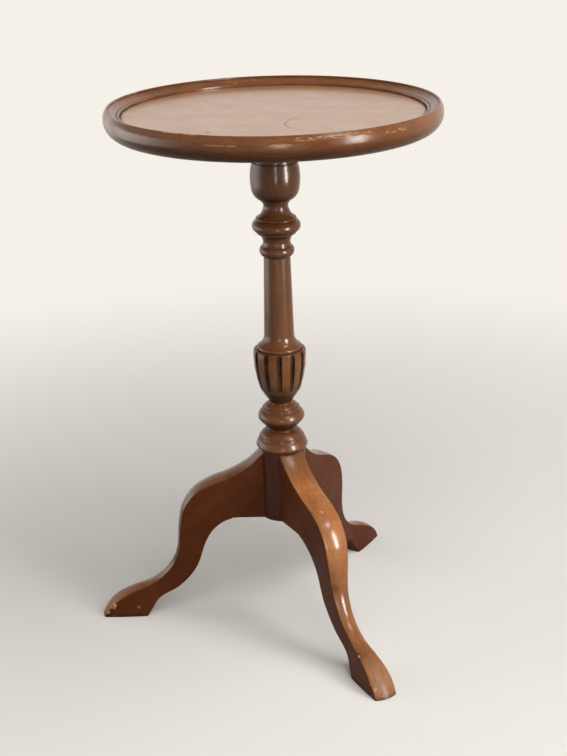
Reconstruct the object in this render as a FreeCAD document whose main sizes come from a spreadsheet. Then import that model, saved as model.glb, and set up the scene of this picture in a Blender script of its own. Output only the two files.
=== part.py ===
"""A wine table: a dished round top on a turned pillar with three cabriole legs.

Millimetres, +Z up. The floor is z = 0 and the pillar stands on the Z axis. The left leg points along -X,
the front leg towards +X and -Y, the rear leg towards +X and +Y.
"""

import FreeCAD, Part
import os
import re
import Sketcher
from FreeCAD import Placement, Rotation, Vector

# Driving dimensions. A name that ends in share is a share of the size that it follows.
SIZES = {
    # Fits and cuts
    "glue_gap": 0.1,
    "cut_overrun": 5.0,
    # Top: the field board has a tongue round its edge, and the rim laps over it
    "top_diameter": 345.0,
    "rim_height": 24.2,
    "rim_width": 17.0,
    "rim_lap": 4.5,
    "tongue_drop": 4.0,
    "rim_crest_inset": 3.8,
    "rim_bullnose_drop": 9.0,
    "rim_under_round": 10.3,
    "rim_under_drop": 16.9,
    "rim_bead_width": 1.9,
    "rim_wall_height": 2.4,
    "dish_depth": 8.8,
    "bullnose_out_share": 0.74,
    "bullnose_up_share": 0.55,
    "under_round_share": 0.257,
    "under_drop_share": 0.621,
    "rim_cove_in_share": 0.55,
    "rim_cove_down_share": 0.78,
    # Pillar block under the top, with its screws
    "block_diameter": 104.0,
    "block_height": 20.0,
    "block_chamfer": 4.0,
    "block_screw_circle": 76.0,
    "block_screw_count": 4,
    "block_screw_length": 30.0,
    # Wood screws, all of one gauge
    "screw_diameter": 4.0,
    "screw_head_diameter": 8.0,
    "screw_head_height": 2.6,
    "screw_tip_length": 4.0,
    "screw_slot_width": 1.0,
    "screw_slot_depth": 1.0,
    # Upper turning: tenon, collar, cup, rings, shaft and shoulder
    "tenon_diameter": 26.0,
    "wedge_depth": 15.0,
    "wedge_thickness": 4.0,
    "wedge_tip_thickness": 1.2,
    "collar_diameter": 46.0,
    "collar_height": 15.5,
    "cup_lip_diameter": 51.4,
    "cup_lip_height": 1.9,
    "cup_lip_edge_share": 0.965,
    "cup_height": 40.6,
    "cup_diameter": 52.6,
    "cup_mouth_diameter": 48.4,
    "cup_fillet_diameter": 30.4,
    "cup_fillet_height": 1.4,
    "cup_bowl_share": 0.325,
    "cup_shoulder_share": 0.96,
    "cup_belly_share": 0.628,
    "cup_turn_share": 0.153,
    "cup_turn_out_share": 0.838,
    "trumpet_height": 16.7,
    "trumpet_neck_diameter": 26.2,
    "trumpet_top_diameter": 29.0,
    "trumpet_neck_share": 0.7,
    "trumpet_bend_share": 0.49,
    "trumpet_bend_out_share": 1.071,
    "trumpet_sweep_share": 0.216,
    "trumpet_sweep_out_share": 1.267,
    "ring_height": 16.9,
    "ring_diameter": 51.3,
    "ring_edge_diameter": 41.6,
    "ring_root_diameter": 42.8,
    "ring_fillet_diameter": 41.2,
    "ring_groove_diameter": 40.2,
    "ring_groove_share": 0.882,
    "ring_groove_top_share": 0.935,
    "ring_belly_share": 0.54,
    "ring_foot_share": 0.112,
    "cove_height": 13.1,
    "cove_diameter": 29.1,
    "cove_foot_diameter": 31.0,
    "cove_top_diameter": 39.6,
    "cove_neck_share": 0.22,
    "cove_bend_share": 0.527,
    "cove_bend_out_share": 1.05,
    "cove_sweep_share": 0.771,
    "cove_sweep_out_share": 1.165,
    "bead_height": 11.8,
    "bead_diameter": 37.1,
    "bead_root_diameter": 31.4,
    "bead_fillet_diameter": 32.6,
    "bead_belly_share": 0.5,
    "bead_foot_share": 0.04,
    "bead_top_share": 0.9,
    "shaft_height": 105.5,
    "shaft_head_diameter": 28.4,
    "shaft_foot_diameter": 32.4,
    "shoulder_height": 18.5,
    "shoulder_diameter": 47.2,
    "shoulder_edge_height": 3.4,
    "shoulder_round": 2.6,
    "shoulder_round_share": 0.7,
    "flare_out_share": 0.3,
    "flare_up_share": 0.36,
    "shaft_tenon_diameter": 18.0,
    "shaft_tenon_length": 38.0,
    # Lower turning: fluted vase, knop, stepped cap and drum
    "vase_height": 62.4,
    "vase_diameter": 57.4,
    "vase_foot_diameter": 24.4,
    "vase_foot_height": 1.2,
    "vase_turn_share": 0.272,
    "vase_turn_out_share": 0.78,
    "vase_taper_share": 0.15,
    "vase_taper_out_share": 0.618,
    "vase_side_share": 0.546,
    "vase_side_out_share": 0.932,
    "lip_height": 1.9,
    "lip_inner_diameter": 48.0,
    "lip_crest_diameter": 51.4,
    "lip_line_diameter": 55.8,
    "lip_line_height": 0.6,
    "lip_inner_share": 0.5,
    "lip_outer_share": 0.62,
    "lip_rise_share": 0.15,
    "lip_corner_share": 0.8,
    "vase_top_round": 4.4,
    "flute_count": 12,
    "flute_radius": 2.5,
    "flute_lift": 1.2,
    "flute_top_drop": 1.1,
    "flute_middle_share": 0.529,
    "flute_middle_out_share": 0.93,
    "flute_foot_share": 0.12,
    "flute_foot_out_share": 0.66,
    "knop_height": 32.7,
    "knop_diameter": 51.2,
    "knop_edge_diameter": 50.6,
    "knop_tier_diameter": 42.6,
    "knop_fillet_diameter": 40.8,
    "knop_dome_diameter": 26.4,
    "knop_swell_share": 0.26,
    "knop_swell_out_share": 0.818,
    "knop_under_share": 0.437,
    "knop_belly_share": 0.581,
    "knop_belly_out_share": 0.979,
    "knop_tier_share": 0.725,
    "knop_fillet_share": 0.777,
    "knop_dome_share": 0.9,
    "knop_dome_out_share": 1.36,
    "neck_diameter": 26.8,
    "neck_share": 0.073,
    "cap_height": 20.3,
    "cap_diameter": 56.8,
    "cap_under_diameter": 52.6,
    "cap_step_diameter": 50.8,
    "cap_fillet_diameter": 49.2,
    "cap_dome_diameter": 47.6,
    "cap_top_diameter": 29.8,
    "cap_under_share": 0.074,
    "cap_under_out_share": 0.986,
    "cap_belly_share": 0.192,
    "cap_roll_share": 0.37,
    "cap_roll_out_share": 0.958,
    "cap_step_share": 0.527,
    "cap_fillet_share": 0.596,
    "cap_dome_share": 0.872,
    "cap_dome_out_share": 0.89,
    "drum_diameter": 51.2,
    "drum_height": 82.5,
    "drum_floor_gap": 127.0,
    # Legs: crowned outer face, flat flanks, a dovetail key in the drum
    "leg_count": 3,
    "leg_seat_radius": 21.0,
    "leg_reach": 214.0,
    "leg_thickness": 29.0,
    "leg_crown": 3.2,
    "leg_cap_gap": 0.5,
    "key_depth": 9.0,
    "key_neck_width": 9.0,
    "key_root_width": 13.0,
    "key_stop": 6.0,
    # Iron strap under the drum and the legs' roots, with its screws
    "strap_thickness": 2.0,
    "strap_hub_diameter": 42.0,
    "strap_arm_width": 14.0,
    "strap_reach": 56.0,
    "strap_leg_screw_radius": 47.0,
    "strap_drum_screw_radius": 15.0,
    "strap_screw_length": 22.0,
}

# Stations of a leg from the drum to the toe. A crest point and a belly point, each as shares of the leg's
# reach past its seat and of the height of its root's top or underside, then the width and the crown's
# rise as shares of the leg's thickness and crown. The last ones dip below the floor, where the sole is cut.
LEG_STATION_SHARES = [
    (0.000, 1.000, 0.000, 1.000, 1.00, 1.00),
    (0.098, 0.914, 0.052, 1.000, 1.00, 1.00),
    (0.212, 0.853, 0.109, 1.000, 1.00, 1.00),
    (0.326, 0.810, 0.161, 0.998, 1.00, 1.00),
    (0.425, 0.751, 0.212, 0.980, 0.98, 1.00),
    (0.487, 0.665, 0.262, 0.939, 0.95, 1.00),
    (0.513, 0.561, 0.311, 0.866, 0.88, 1.00),
    (0.523, 0.451, 0.355, 0.744, 0.76, 0.95),
    (0.549, 0.352, 0.415, 0.492, 0.64, 0.90),
    (0.617, 0.259, 0.521, 0.295, 0.57, 0.85),
    (0.720, 0.192, 0.653, 0.165, 0.60, 0.85),
    (0.814, 0.157, 0.697, 0.063, 0.72, 0.90),
    (0.896, 0.116, 0.741, -0.028, 0.86, 1.00),
    (0.964, 0.057, 0.850, -0.095, 0.91, 1.00),
    (1.005, -0.014, 0.964, -0.118, 0.86, 0.90),
]

# Where each leg points, in degrees about the pillar from +X.
LEG_BEARINGS = {"leg_left": 180, "leg_front": 300, "leg_rear": 60}

# Levels, from the floor up
DRUM_BOTTOM = "drum_floor_gap"
STRAP_BOTTOM = f"{DRUM_BOTTOM} - strap_thickness"
CAP_BOTTOM = f"{DRUM_BOTTOM} + drum_height"
NECK = f"{CAP_BOTTOM} + cap_height"
VASE_BOTTOM = f"{NECK} + knop_height"
VASE_TOP = f"{VASE_BOTTOM} + vase_height"
SEAT = f"{VASE_TOP} - lip_height"
SHAFT_TOP = f"{SEAT} + shaft_height"
BEAD_TOP = f"{SHAFT_TOP} + bead_height"
RING_BOTTOM = f"{BEAD_TOP} + cove_height"
RING_TOP = f"{RING_BOTTOM} + ring_height"
CUP_BOTTOM = f"{RING_TOP} + trumpet_height"
CUP_TOP = f"{CUP_BOTTOM} + cup_height"
COLLAR_BOTTOM = f"{CUP_TOP} + cup_lip_height"
BLOCK_BOTTOM = f"{COLLAR_BOTTOM} + collar_height"
TOP_BOTTOM = f"{BLOCK_BOTTOM} + block_height"
CREST = f"{TOP_BOTTOM} + rim_height"
FIELD = f"{CREST} - dish_depth"

doc = FreeCAD.newDocument("WineTable")
sheet = doc.addObject("Spreadsheet::Sheet", "Sizes")
for row, (alias, number) in enumerate(SIZES.items(), start=1):
    sheet.set(f"A{row}", alias)
    sheet.set(f"B{row}", str(number))
    sheet.setAlias(f"B{row}", alias)
doc.recompute()


def bound(text):
    """The expression for a sum of size names: each name that isn't a function is read from the sheet."""
    return re.sub(r"\b[a-z]\w*\b(?!\()", lambda name: "Sizes." + name.group(), text)


def value(text):
    """What a sum of size names comes to."""
    return float(sheet.evalExpression(bound(text)))


def new_body(label):
    body = doc.addObject("PartDesign::Body", label)
    body.Label = label
    return body


def origin_feature(body, role):
    return next(feature for feature in body.Origin.OriginFeatures if feature.Role == role)


def new_sketch(body, name, role="XZ_Plane", level=None):
    """A sketch on one of the body's own planes, or lifted off it to a level."""
    sketch = body.newObject("Sketcher::SketchObject", f"{body.Name}_{name}")
    sketch.AttachmentSupport = [(origin_feature(body, role), "")]
    sketch.MapMode = "FlatFace"
    if level:
        sketch.setExpression("AttachmentOffset.Base.z", bound(level))
    return sketch


def pin(sketch, geometry, end, across, along):
    """Tie one end of a line to its two coordinates."""
    for kind, axis, text in (("DistanceX", -2, across), ("DistanceY", -1, along)):
        if text == "0":
            sketch.addConstraint(Sketcher.Constraint("PointOnObject", geometry, end, axis))
            continue
        index = sketch.addConstraint(Sketcher.Constraint(kind, -1, 1, geometry, end, value(text)))
        sketch.setExpression(f"Constraints[{index}]", bound(text))


def draw_arc(sketch, begin, via, finish):
    """An arc by way of a pinned point. It runs anticlockwise, so its ends may change places."""
    middle = Vector(value(via[0]), value(via[1]), 0)
    leftward = (middle - begin).cross(finish - middle).z > 0
    ends = (1, 2) if leftward else (2, 1)
    arc = Part.Arc(begin, middle, finish) if leftward else Part.Arc(finish, middle, begin)
    geometry = sketch.addGeometry(arc)
    point = sketch.addGeometry(Part.Point(middle), True)
    pin(sketch, point, 1, *via)
    sketch.addConstraint(Sketcher.Constraint("PointOnObject", point, 1, geometry))
    return geometry, ends


def draw(sketch, corners):
    """A closed outline. Two values run straight to a corner, four run an arc by way of a point first."""
    places = [Vector(value(corner[-2]), value(corner[-1]), 0) for corner in corners]
    joints = []
    for number, corner in enumerate(corners):
        begin, finish = places[number - 1], places[number]
        if len(corner) == 2:
            geometry = sketch.addGeometry(Part.LineSegment(begin, finish))
            ends = (1, 2)
        else:
            geometry, ends = draw_arc(sketch, begin, corner[:2], finish)
        pin(sketch, geometry, ends[1], corner[-2], corner[-1])
        joints.append((geometry, ends))
    for number, (geometry, ends) in enumerate(joints):
        before, before_ends = joints[number - 1]
        sketch.addConstraint(Sketcher.Constraint("Coincident", before, before_ends[1], geometry, ends[0]))


def draw_circle(sketch, diameter, across="0", along="0"):
    centre = Vector(value(across), value(along), 0)
    circle = sketch.addGeometry(Part.Circle(centre, Vector(0, 0, 1), value(diameter) / 2))
    pin(sketch, circle, 3, across, along)
    index = sketch.addConstraint(Sketcher.Constraint("Diameter", circle, value(diameter)))
    sketch.setExpression(f"Constraints[{index}]", bound(diameter))


def draw_axis(sketch, across):
    """An upright construction line to turn an outline about, away from the sketch's own axis."""
    foot = Vector(value(across), 0, 0)
    line = sketch.addGeometry(Part.LineSegment(foot, foot + Vector(0, value("cut_overrun"), 0)), True)
    pin(sketch, line, 1, across, "0")
    pin(sketch, line, 2, across, "cut_overrun")


def turned(body, kind, name, corners, axis=None):
    """An outline in the XZ plane turned full circle: a Revolution adds it, a Groove takes it away."""
    sketch = new_sketch(body, name + "_outline")
    draw(sketch, corners)
    if axis:
        draw_axis(sketch, axis)
    feature = body.newObject(f"PartDesign::{kind}", f"{body.Name}_{name}")
    feature.Profile = sketch
    feature.ReferenceAxis = (sketch, ["Axis0" if axis else "V_Axis"])
    feature.Angle = 360
    doc.recompute()
    return feature


def raised(body, kind, name, sketch, length, reverse=False):
    """A Pad or a Pocket of a sketch, by a length."""
    feature = body.newObject(f"PartDesign::{kind}", f"{body.Name}_{name}")
    feature.Profile = sketch
    feature.setExpression("Length", bound(length))
    feature.Reversed = reverse
    doc.recompute()
    return feature


def patterned(body, name, originals, count):
    """Copies of features, evenly round the pillar."""
    pattern = body.newObject("PartDesign::PolarPattern", f"{body.Name}_{name}")
    pattern.Originals = originals
    pattern.Axis = (origin_feature(body, "Z_Axis"), [""])
    pattern.Angle = 360
    pattern.setExpression("Occurrences", bound(count))
    body.Tip = pattern
    doc.recompute()
    return pattern


def screw_outline(axis, head_level, length, gap="0"):
    """Half the section of a countersunk wood screw that points up from its head, or of the hole for it."""
    head = f"{axis} + screw_head_diameter / 2 + {gap}"
    shank = f"{axis} + screw_diameter / 2 + {gap}"
    neck_level = f"{head_level} + screw_head_height"
    tip_level = f"{head_level} + {length}"
    return [
        (axis, head_level),
        (head, head_level),
        (shank, neck_level),
        (shank, f"{tip_level} - screw_tip_length"),
        (axis, f"{tip_level} + {gap}"),
    ]


def make_screws(label, radius, count, head_level, length):
    """A ring of slotted countersunk screws that point up, as separate solids of one piece."""
    body = new_body(label)
    body.AllowCompound = True
    blank = turned(body, "Revolution", "blank", screw_outline(radius, head_level, length), radius)
    slot_sketch = new_sketch(body, "slot_outline", "XY_Plane", head_level)
    left = f"{radius} - screw_slot_width / 2"
    right = f"{radius} + screw_slot_width / 2"
    low = "-screw_head_diameter"
    high = "screw_head_diameter"
    draw(slot_sketch, [(left, low), (right, low), (right, high), (left, high)])
    slot = raised(body, "Pocket", "slot", slot_sketch, "screw_slot_depth", reverse=True)
    patterned(body, "ring", [blank, slot], count)
    return body


def make_top_field():
    """The flat board of the top and its tongue, with blind pilot holes for the block's screws underneath."""
    body = new_body("top_field")
    tongue_sketch = new_sketch(body, "tongue_disc", "XY_Plane", TOP_BOTTOM)
    draw_circle(tongue_sketch, "top_diameter - 2 * rim_width + 2 * rim_lap")
    raised(body, "Pad", "tongue", tongue_sketch, "rim_height - dish_depth - tongue_drop")
    field_sketch = new_sketch(body, "field_disc", "XY_Plane", TOP_BOTTOM)
    draw_circle(field_sketch, "top_diameter - 2 * rim_width - 2 * glue_gap")
    raised(body, "Pad", "field", field_sketch, "rim_height - dish_depth")
    hole = turned(
        body, "Groove", "pilot_hole",
        screw_outline("block_screw_circle / 2", BLOCK_BOTTOM, "block_screw_length", "glue_gap"),
        "block_screw_circle / 2",
    )
    patterned(body, "pilot_holes", [hole], "block_screw_count")
    return body


def make_top_rim():
    """The moulded ring: a rounded nose outside, cove and bead inside, a rebate below for the field board."""
    body = new_body("top_rim")
    edge = "top_diameter / 2"
    crest = f"{edge} - rim_crest_inset"
    inner = f"{edge} - rim_width"
    rebate = f"{inner} + rim_lap + glue_gap"
    bead = f"{inner} + rim_bead_width"
    bead_level = f"{FIELD} + rim_wall_height"
    widest = f"{CREST} - rim_bullnose_drop"
    under = f"{widest} - rim_under_drop"
    cove_fall = "dish_depth - rim_wall_height"
    turned(body, "Revolution", "ring", [
        (rebate, under),
        (f"{edge} - rim_under_round", under),
        (f"{edge} - rim_under_round * under_round_share",
         f"{widest} - rim_under_drop * under_drop_share", edge, widest),
        (f"{edge} - rim_crest_inset * (1 - bullnose_out_share)",
         f"{widest} + rim_bullnose_drop * bullnose_up_share", crest, CREST),
        (f"{crest} - (rim_width - rim_crest_inset - rim_bead_width) * rim_cove_in_share",
         f"{CREST} - ({cove_fall}) * rim_cove_down_share", bead, bead_level),
        (inner, bead_level),
        (inner, f"{FIELD} - tongue_drop"),
        (rebate, f"{FIELD} - tongue_drop"),
    ])
    return body


def make_pillar_block():
    """The turned disc under the top: a through mortise for the pillar's tenon and countersunk screw holes."""
    body = new_body("pillar_block")
    bore = "tenon_diameter / 2 + glue_gap"
    edge = "block_diameter / 2"
    turned(body, "Revolution", "disc", [
        (bore, BLOCK_BOTTOM),
        (f"{edge} - block_chamfer", BLOCK_BOTTOM),
        (edge, f"{BLOCK_BOTTOM} + block_chamfer"),
        (edge, TOP_BOTTOM),
        (bore, TOP_BOTTOM),
    ])
    hole = turned(
        body, "Groove", "screw_hole",
        screw_outline("block_screw_circle / 2", BLOCK_BOTTOM, "block_screw_length", "glue_gap"),
        "block_screw_circle / 2",
    )
    patterned(body, "screw_holes", [hole], "block_screw_count")
    return body


def wedge_outline():
    """The wedge's side view, across the tenon's end."""
    return [
        ("-wedge_tip_thickness / 2", f"{TOP_BOTTOM} - wedge_depth"),
        ("wedge_tip_thickness / 2", f"{TOP_BOTTOM} - wedge_depth"),
        ("wedge_thickness / 2", TOP_BOTTOM),
        ("-wedge_thickness / 2", TOP_BOTTOM),
    ]


def make_tenon_wedge():
    """The hardwood wedge across the tenon, trimmed round to the tenon's own diameter."""
    body = new_body("tenon_wedge")
    sketch = new_sketch(body, "side")
    draw(sketch, wedge_outline())
    pad = raised(body, "Pad", "wedge", sketch, "tenon_diameter")
    pad.Midplane = True
    doc.recompute()
    outer = "tenon_diameter"
    turned(body, "Groove", "round", [
        ("tenon_diameter / 2", f"{TOP_BOTTOM} - wedge_depth - cut_overrun"),
        (outer, f"{TOP_BOTTOM} - wedge_depth - cut_overrun"),
        (outer, f"{TOP_BOTTOM} + cut_overrun"),
        ("tenon_diameter / 2", f"{TOP_BOTTOM} + cut_overrun"),
    ])
    return body


def stacked(body, name, bottom, top, corners):
    """One moulding of a turning: its side from one level to the next, closed along the pillar's axis."""
    return turned(body, "Revolution", name, [("0", bottom), *corners, ("0", top)])


def make_pillar_shaft():
    """The upper turning, from its tenon in the vase to its wedged tenon in the block."""
    body = new_body("pillar_shaft")
    tenon = "shaft_tenon_diameter / 2"
    tenon_end = f"{SEAT} - shaft_tenon_length"
    stacked(body, "lower_tenon", tenon_end, SEAT, [(tenon, tenon_end), (tenon, SEAT)])

    shoulder = "shoulder_diameter / 2"
    shoulder_edge = f"{SEAT} + shoulder_edge_height"
    flare = f"({shoulder} - shoulder_round * shoulder_round_share)"
    flare_level = f"{shoulder_edge} + shoulder_round"
    foot = "shaft_foot_diameter / 2"
    foot_level = f"{SEAT} + shoulder_height"
    stacked(body, "shoulder", SEAT, foot_level, [
        (shoulder, SEAT),
        (shoulder, shoulder_edge),
        (f"{shoulder} - shoulder_round * (1 - shoulder_round_share)",
         f"{shoulder_edge} + shoulder_round * shoulder_round_share", flare, flare_level),
        (f"{foot} + ({flare} - {foot}) * flare_out_share",
         f"{flare_level} + (shoulder_height - shoulder_edge_height - shoulder_round) * flare_up_share",
         foot, foot_level),
    ])
    stacked(body, "shaft", foot_level, SHAFT_TOP, [
        (foot, foot_level),
        ("shaft_head_diameter / 2", SHAFT_TOP),
    ])
    bead_foot = f"{SHAFT_TOP} + bead_height * bead_foot_share"
    stacked(body, "bead", SHAFT_TOP, BEAD_TOP, [
        ("shaft_head_diameter / 2", SHAFT_TOP),
        ("bead_root_diameter / 2", bead_foot),
        ("bead_diameter / 2", f"{SHAFT_TOP} + bead_height * bead_belly_share",
         "bead_fillet_diameter / 2", f"{SHAFT_TOP} + bead_height * bead_top_share"),
        ("bead_fillet_diameter / 2", BEAD_TOP),
    ])
    stacked(body, "cove", BEAD_TOP, RING_BOTTOM, [
        ("cove_foot_diameter / 2", BEAD_TOP),
        ("cove_diameter / 2", f"{BEAD_TOP} + cove_height * cove_neck_share",
         "cove_diameter / 2 * cove_bend_out_share", f"{BEAD_TOP} + cove_height * cove_bend_share"),
        ("cove_diameter / 2 * cove_sweep_out_share", f"{BEAD_TOP} + cove_height * cove_sweep_share",
         "cove_top_diameter / 2", RING_BOTTOM),
    ])
    ring_foot = f"{RING_BOTTOM} + ring_height * ring_foot_share"
    ring_groove = f"{RING_BOTTOM} + ring_height * ring_groove_share"
    ring_edge = f"{RING_BOTTOM} + ring_height * ring_groove_top_share"
    stacked(body, "ring", RING_BOTTOM, RING_TOP, [
        ("ring_fillet_diameter / 2", RING_BOTTOM),
        ("ring_fillet_diameter / 2", ring_foot),
        ("ring_root_diameter / 2", ring_foot),
        ("ring_diameter / 2", f"{RING_BOTTOM} + ring_height * ring_belly_share",
         "ring_root_diameter / 2", ring_groove),
        ("ring_groove_diameter / 2", ring_groove),
        ("ring_groove_diameter / 2", ring_edge),
        ("ring_edge_diameter / 2", ring_edge),
        ("ring_edge_diameter / 2", RING_TOP),
    ])
    stacked(body, "trumpet", RING_TOP, CUP_BOTTOM, [
        ("ring_edge_diameter / 2", RING_TOP),
        ("trumpet_neck_diameter / 2 * trumpet_sweep_out_share",
         f"{RING_TOP} + trumpet_height * trumpet_sweep_share",
         "trumpet_neck_diameter / 2 * trumpet_bend_out_share",
         f"{RING_TOP} + trumpet_height * trumpet_bend_share"),
        ("trumpet_neck_diameter / 2", f"{RING_TOP} + trumpet_height * trumpet_neck_share",
         "trumpet_top_diameter / 2", CUP_BOTTOM),
    ])
    cup_fillet = f"{CUP_BOTTOM} + cup_fillet_height"
    stacked(body, "cup", CUP_BOTTOM, CUP_TOP, [
        ("cup_fillet_diameter / 2", CUP_BOTTOM),
        ("cup_fillet_diameter / 2", cup_fillet),
        ("cup_diameter / 2 * cup_turn_out_share", f"{CUP_BOTTOM} + cup_height * cup_turn_share",
         "cup_diameter / 2 * cup_shoulder_share", f"{CUP_BOTTOM} + cup_height * cup_bowl_share"),
        ("cup_diameter / 2", f"{CUP_BOTTOM} + cup_height * cup_belly_share",
         "cup_mouth_diameter / 2", CUP_TOP),
    ])
    lip_edge = "cup_lip_diameter / 2 * cup_lip_edge_share"
    stacked(body, "cup_lip", CUP_TOP, COLLAR_BOTTOM, [
        (lip_edge, CUP_TOP),
        ("cup_lip_diameter / 2", f"{CUP_TOP} + cup_lip_height / 2", lip_edge, COLLAR_BOTTOM),
    ])
    stacked(body, "collar", COLLAR_BOTTOM, TOP_BOTTOM, [
        ("collar_diameter / 2", COLLAR_BOTTOM),
        ("collar_diameter / 2", BLOCK_BOTTOM),
        ("tenon_diameter / 2", BLOCK_BOTTOM),
        ("tenon_diameter / 2", TOP_BOTTOM),
    ])
    kerf_sketch = new_sketch(body, "kerf_outline")
    draw(kerf_sketch, wedge_outline())
    kerf = raised(body, "Pocket", "kerf", kerf_sketch, "tenon_diameter")
    kerf.Midplane = True
    doc.recompute()
    return body


def make_flutes(body):
    """Flutes scooped down the vase's side: each starts and ends outside it, so that it fades at both ends."""
    top = f"{VASE_TOP} - flute_top_drop"
    begin = ("vase_diameter / 2 + flute_lift", top)
    middle = ("vase_diameter / 2 * flute_middle_out_share", f"{VASE_BOTTOM} + vase_height * flute_middle_share")
    finish = ("vase_diameter / 2 * flute_foot_out_share", f"{VASE_BOTTOM} + vase_height * flute_foot_share")
    path = new_sketch(body, "flute_path")
    places = [Vector(value(across), value(along), 0) for across, along in (begin, finish)]
    arc, ends = draw_arc(path, places[0], middle, places[1])
    pin(path, arc, ends[0], *begin)
    pin(path, arc, ends[1], *finish)
    section = new_sketch(body, "flute_section", "XY_Plane", top)
    draw_circle(section, "2 * flute_radius", begin[0])
    flute = body.newObject("PartDesign::SubtractivePipe", "pillar_base_flute")
    flute.Profile = section
    flute.Spine = (path, ["Edge1"])
    doc.recompute()
    patterned(body, "flutes", [flute], "flute_count")


def make_pillar_base():
    """The lower turning: drum with the legs' seats and slots, stepped cap, knop and fluted vase."""
    body = new_body("pillar_base")
    drum = "drum_diameter / 2"
    stacked(body, "drum", DRUM_BOTTOM, CAP_BOTTOM, [(drum, DRUM_BOTTOM), (drum, CAP_BOTTOM)])
    seat_sketch = new_sketch(body, "seat_outline", "XY_Plane", DRUM_BOTTOM)
    seat_far = f"-{drum} - cut_overrun"
    draw(seat_sketch, [
        (seat_far, f"-{drum}"), ("-leg_seat_radius", f"-{drum}"),
        ("-leg_seat_radius", drum), (seat_far, drum),
    ])
    seat = raised(body, "Pocket", "seat", seat_sketch, "drum_height", reverse=True)
    slot_sketch = new_sketch(body, "slot_outline", "XY_Plane", DRUM_BOTTOM)
    draw(slot_sketch, key_outline("-1", "glue_gap"))
    slot = raised(body, "Pocket", "slot", slot_sketch, "drum_height - key_stop + glue_gap", reverse=True)
    patterned(body, "seats", [seat, slot], "leg_count")
    hole = turned(
        body, "Groove", "screw_hole",
        screw_outline("strap_drum_screw_radius", STRAP_BOTTOM, "strap_screw_length", "glue_gap"),
        "strap_drum_screw_radius",
    )
    patterned(body, "screw_holes", [hole], "leg_count")

    cap_belly = f"{CAP_BOTTOM} + cap_height * cap_belly_share"
    cap_step = f"{CAP_BOTTOM} + cap_height * cap_step_share"
    cap_fillet = f"{CAP_BOTTOM} + cap_height * cap_fillet_share"
    stacked(body, "cap", CAP_BOTTOM, NECK, [
        ("cap_under_diameter / 2", CAP_BOTTOM),
        ("cap_diameter / 2 * cap_under_out_share", f"{CAP_BOTTOM} + cap_height * cap_under_share",
         "cap_diameter / 2", cap_belly),
        ("cap_diameter / 2 * cap_roll_out_share", f"{CAP_BOTTOM} + cap_height * cap_roll_share",
         "cap_step_diameter / 2", cap_step),
        ("cap_fillet_diameter / 2", cap_step),
        ("cap_fillet_diameter / 2", cap_fillet),
        ("cap_dome_diameter / 2", cap_fillet),
        ("cap_dome_diameter / 2 * cap_dome_out_share", f"{CAP_BOTTOM} + cap_height * cap_dome_share",
         "cap_top_diameter / 2", NECK),
    ])
    knop_tier = f"{NECK} + knop_height * knop_tier_share"
    knop_fillet = f"{NECK} + knop_height * knop_fillet_share"
    stacked(body, "knop", NECK, VASE_BOTTOM, [
        ("neck_diameter / 2", NECK),
        ("neck_diameter / 2", f"{NECK} + knop_height * neck_share"),
        ("knop_edge_diameter / 2 * knop_swell_out_share", f"{NECK} + knop_height * knop_swell_share",
         "knop_edge_diameter / 2", f"{NECK} + knop_height * knop_under_share"),
        ("knop_diameter / 2 * knop_belly_out_share", f"{NECK} + knop_height * knop_belly_share",
         "knop_tier_diameter / 2", knop_tier),
        ("knop_fillet_diameter / 2", knop_tier),
        ("knop_fillet_diameter / 2", knop_fillet),
        ("knop_dome_diameter / 2 * knop_dome_out_share", f"{NECK} + knop_height * knop_dome_share",
         "knop_dome_diameter / 2", VASE_BOTTOM),
    ])
    lip_line = f"{VASE_TOP} - lip_height * lip_corner_share"
    vase_side = f"{lip_line} - vase_top_round"
    stacked(body, "vase", VASE_BOTTOM, vase_side, [
        ("vase_foot_diameter / 2", VASE_BOTTOM),
        ("vase_foot_diameter / 2", f"{VASE_BOTTOM} + vase_foot_height"),
        ("vase_diameter / 2 * vase_taper_out_share", f"{VASE_BOTTOM} + vase_height * vase_taper_share",
         "vase_diameter / 2 * vase_turn_out_share", f"{VASE_BOTTOM} + vase_height * vase_turn_share"),
        ("vase_diameter / 2 * vase_side_out_share", f"{VASE_BOTTOM} + vase_height * vase_side_share",
         "vase_diameter / 2", vase_side),
    ])
    lip_crest = "lip_crest_diameter / 2"
    stacked(body, "vase_lip", vase_side, SEAT, [
        ("vase_diameter / 2", vase_side),
        ("lip_line_diameter / 2", lip_line),
        ("lip_line_diameter / 2", f"{lip_line} + lip_line_height"),
        (f"{lip_crest} + (lip_line_diameter - lip_crest_diameter) / 2 * lip_outer_share",
         f"{VASE_TOP} - lip_height * lip_rise_share", lip_crest, VASE_TOP),
        ("lip_inner_diameter / 2", f"{VASE_TOP} - lip_height * lip_inner_share"),
        ("lip_inner_diameter / 2", SEAT),
    ])
    mortise = "shaft_tenon_diameter / 2 + glue_gap"
    mortise_end = f"{SEAT} - shaft_tenon_length - glue_gap"
    turned(body, "Groove", "mortise", [
        ("0", mortise_end), (mortise, mortise_end),
        (mortise, f"{SEAT} + cut_overrun"), ("0", f"{SEAT} + cut_overrun"),
    ])
    make_flutes(body)
    return body


def key_outline(side, gap="0"):
    """The dovetail of a leg's root in plan, on the +X side or the -X side, or its slot with a gap."""
    mouth = f"{side} * (leg_seat_radius + {gap})"
    root = f"{side} * (leg_seat_radius - key_depth - {gap})"
    neck = f"(key_neck_width / 2 + {gap})"
    wide = f"(key_root_width / 2 + {gap})"
    return [(mouth, f"-{neck}"), (mouth, neck), (root, wide), (root, f"-{wide}")]


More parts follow.
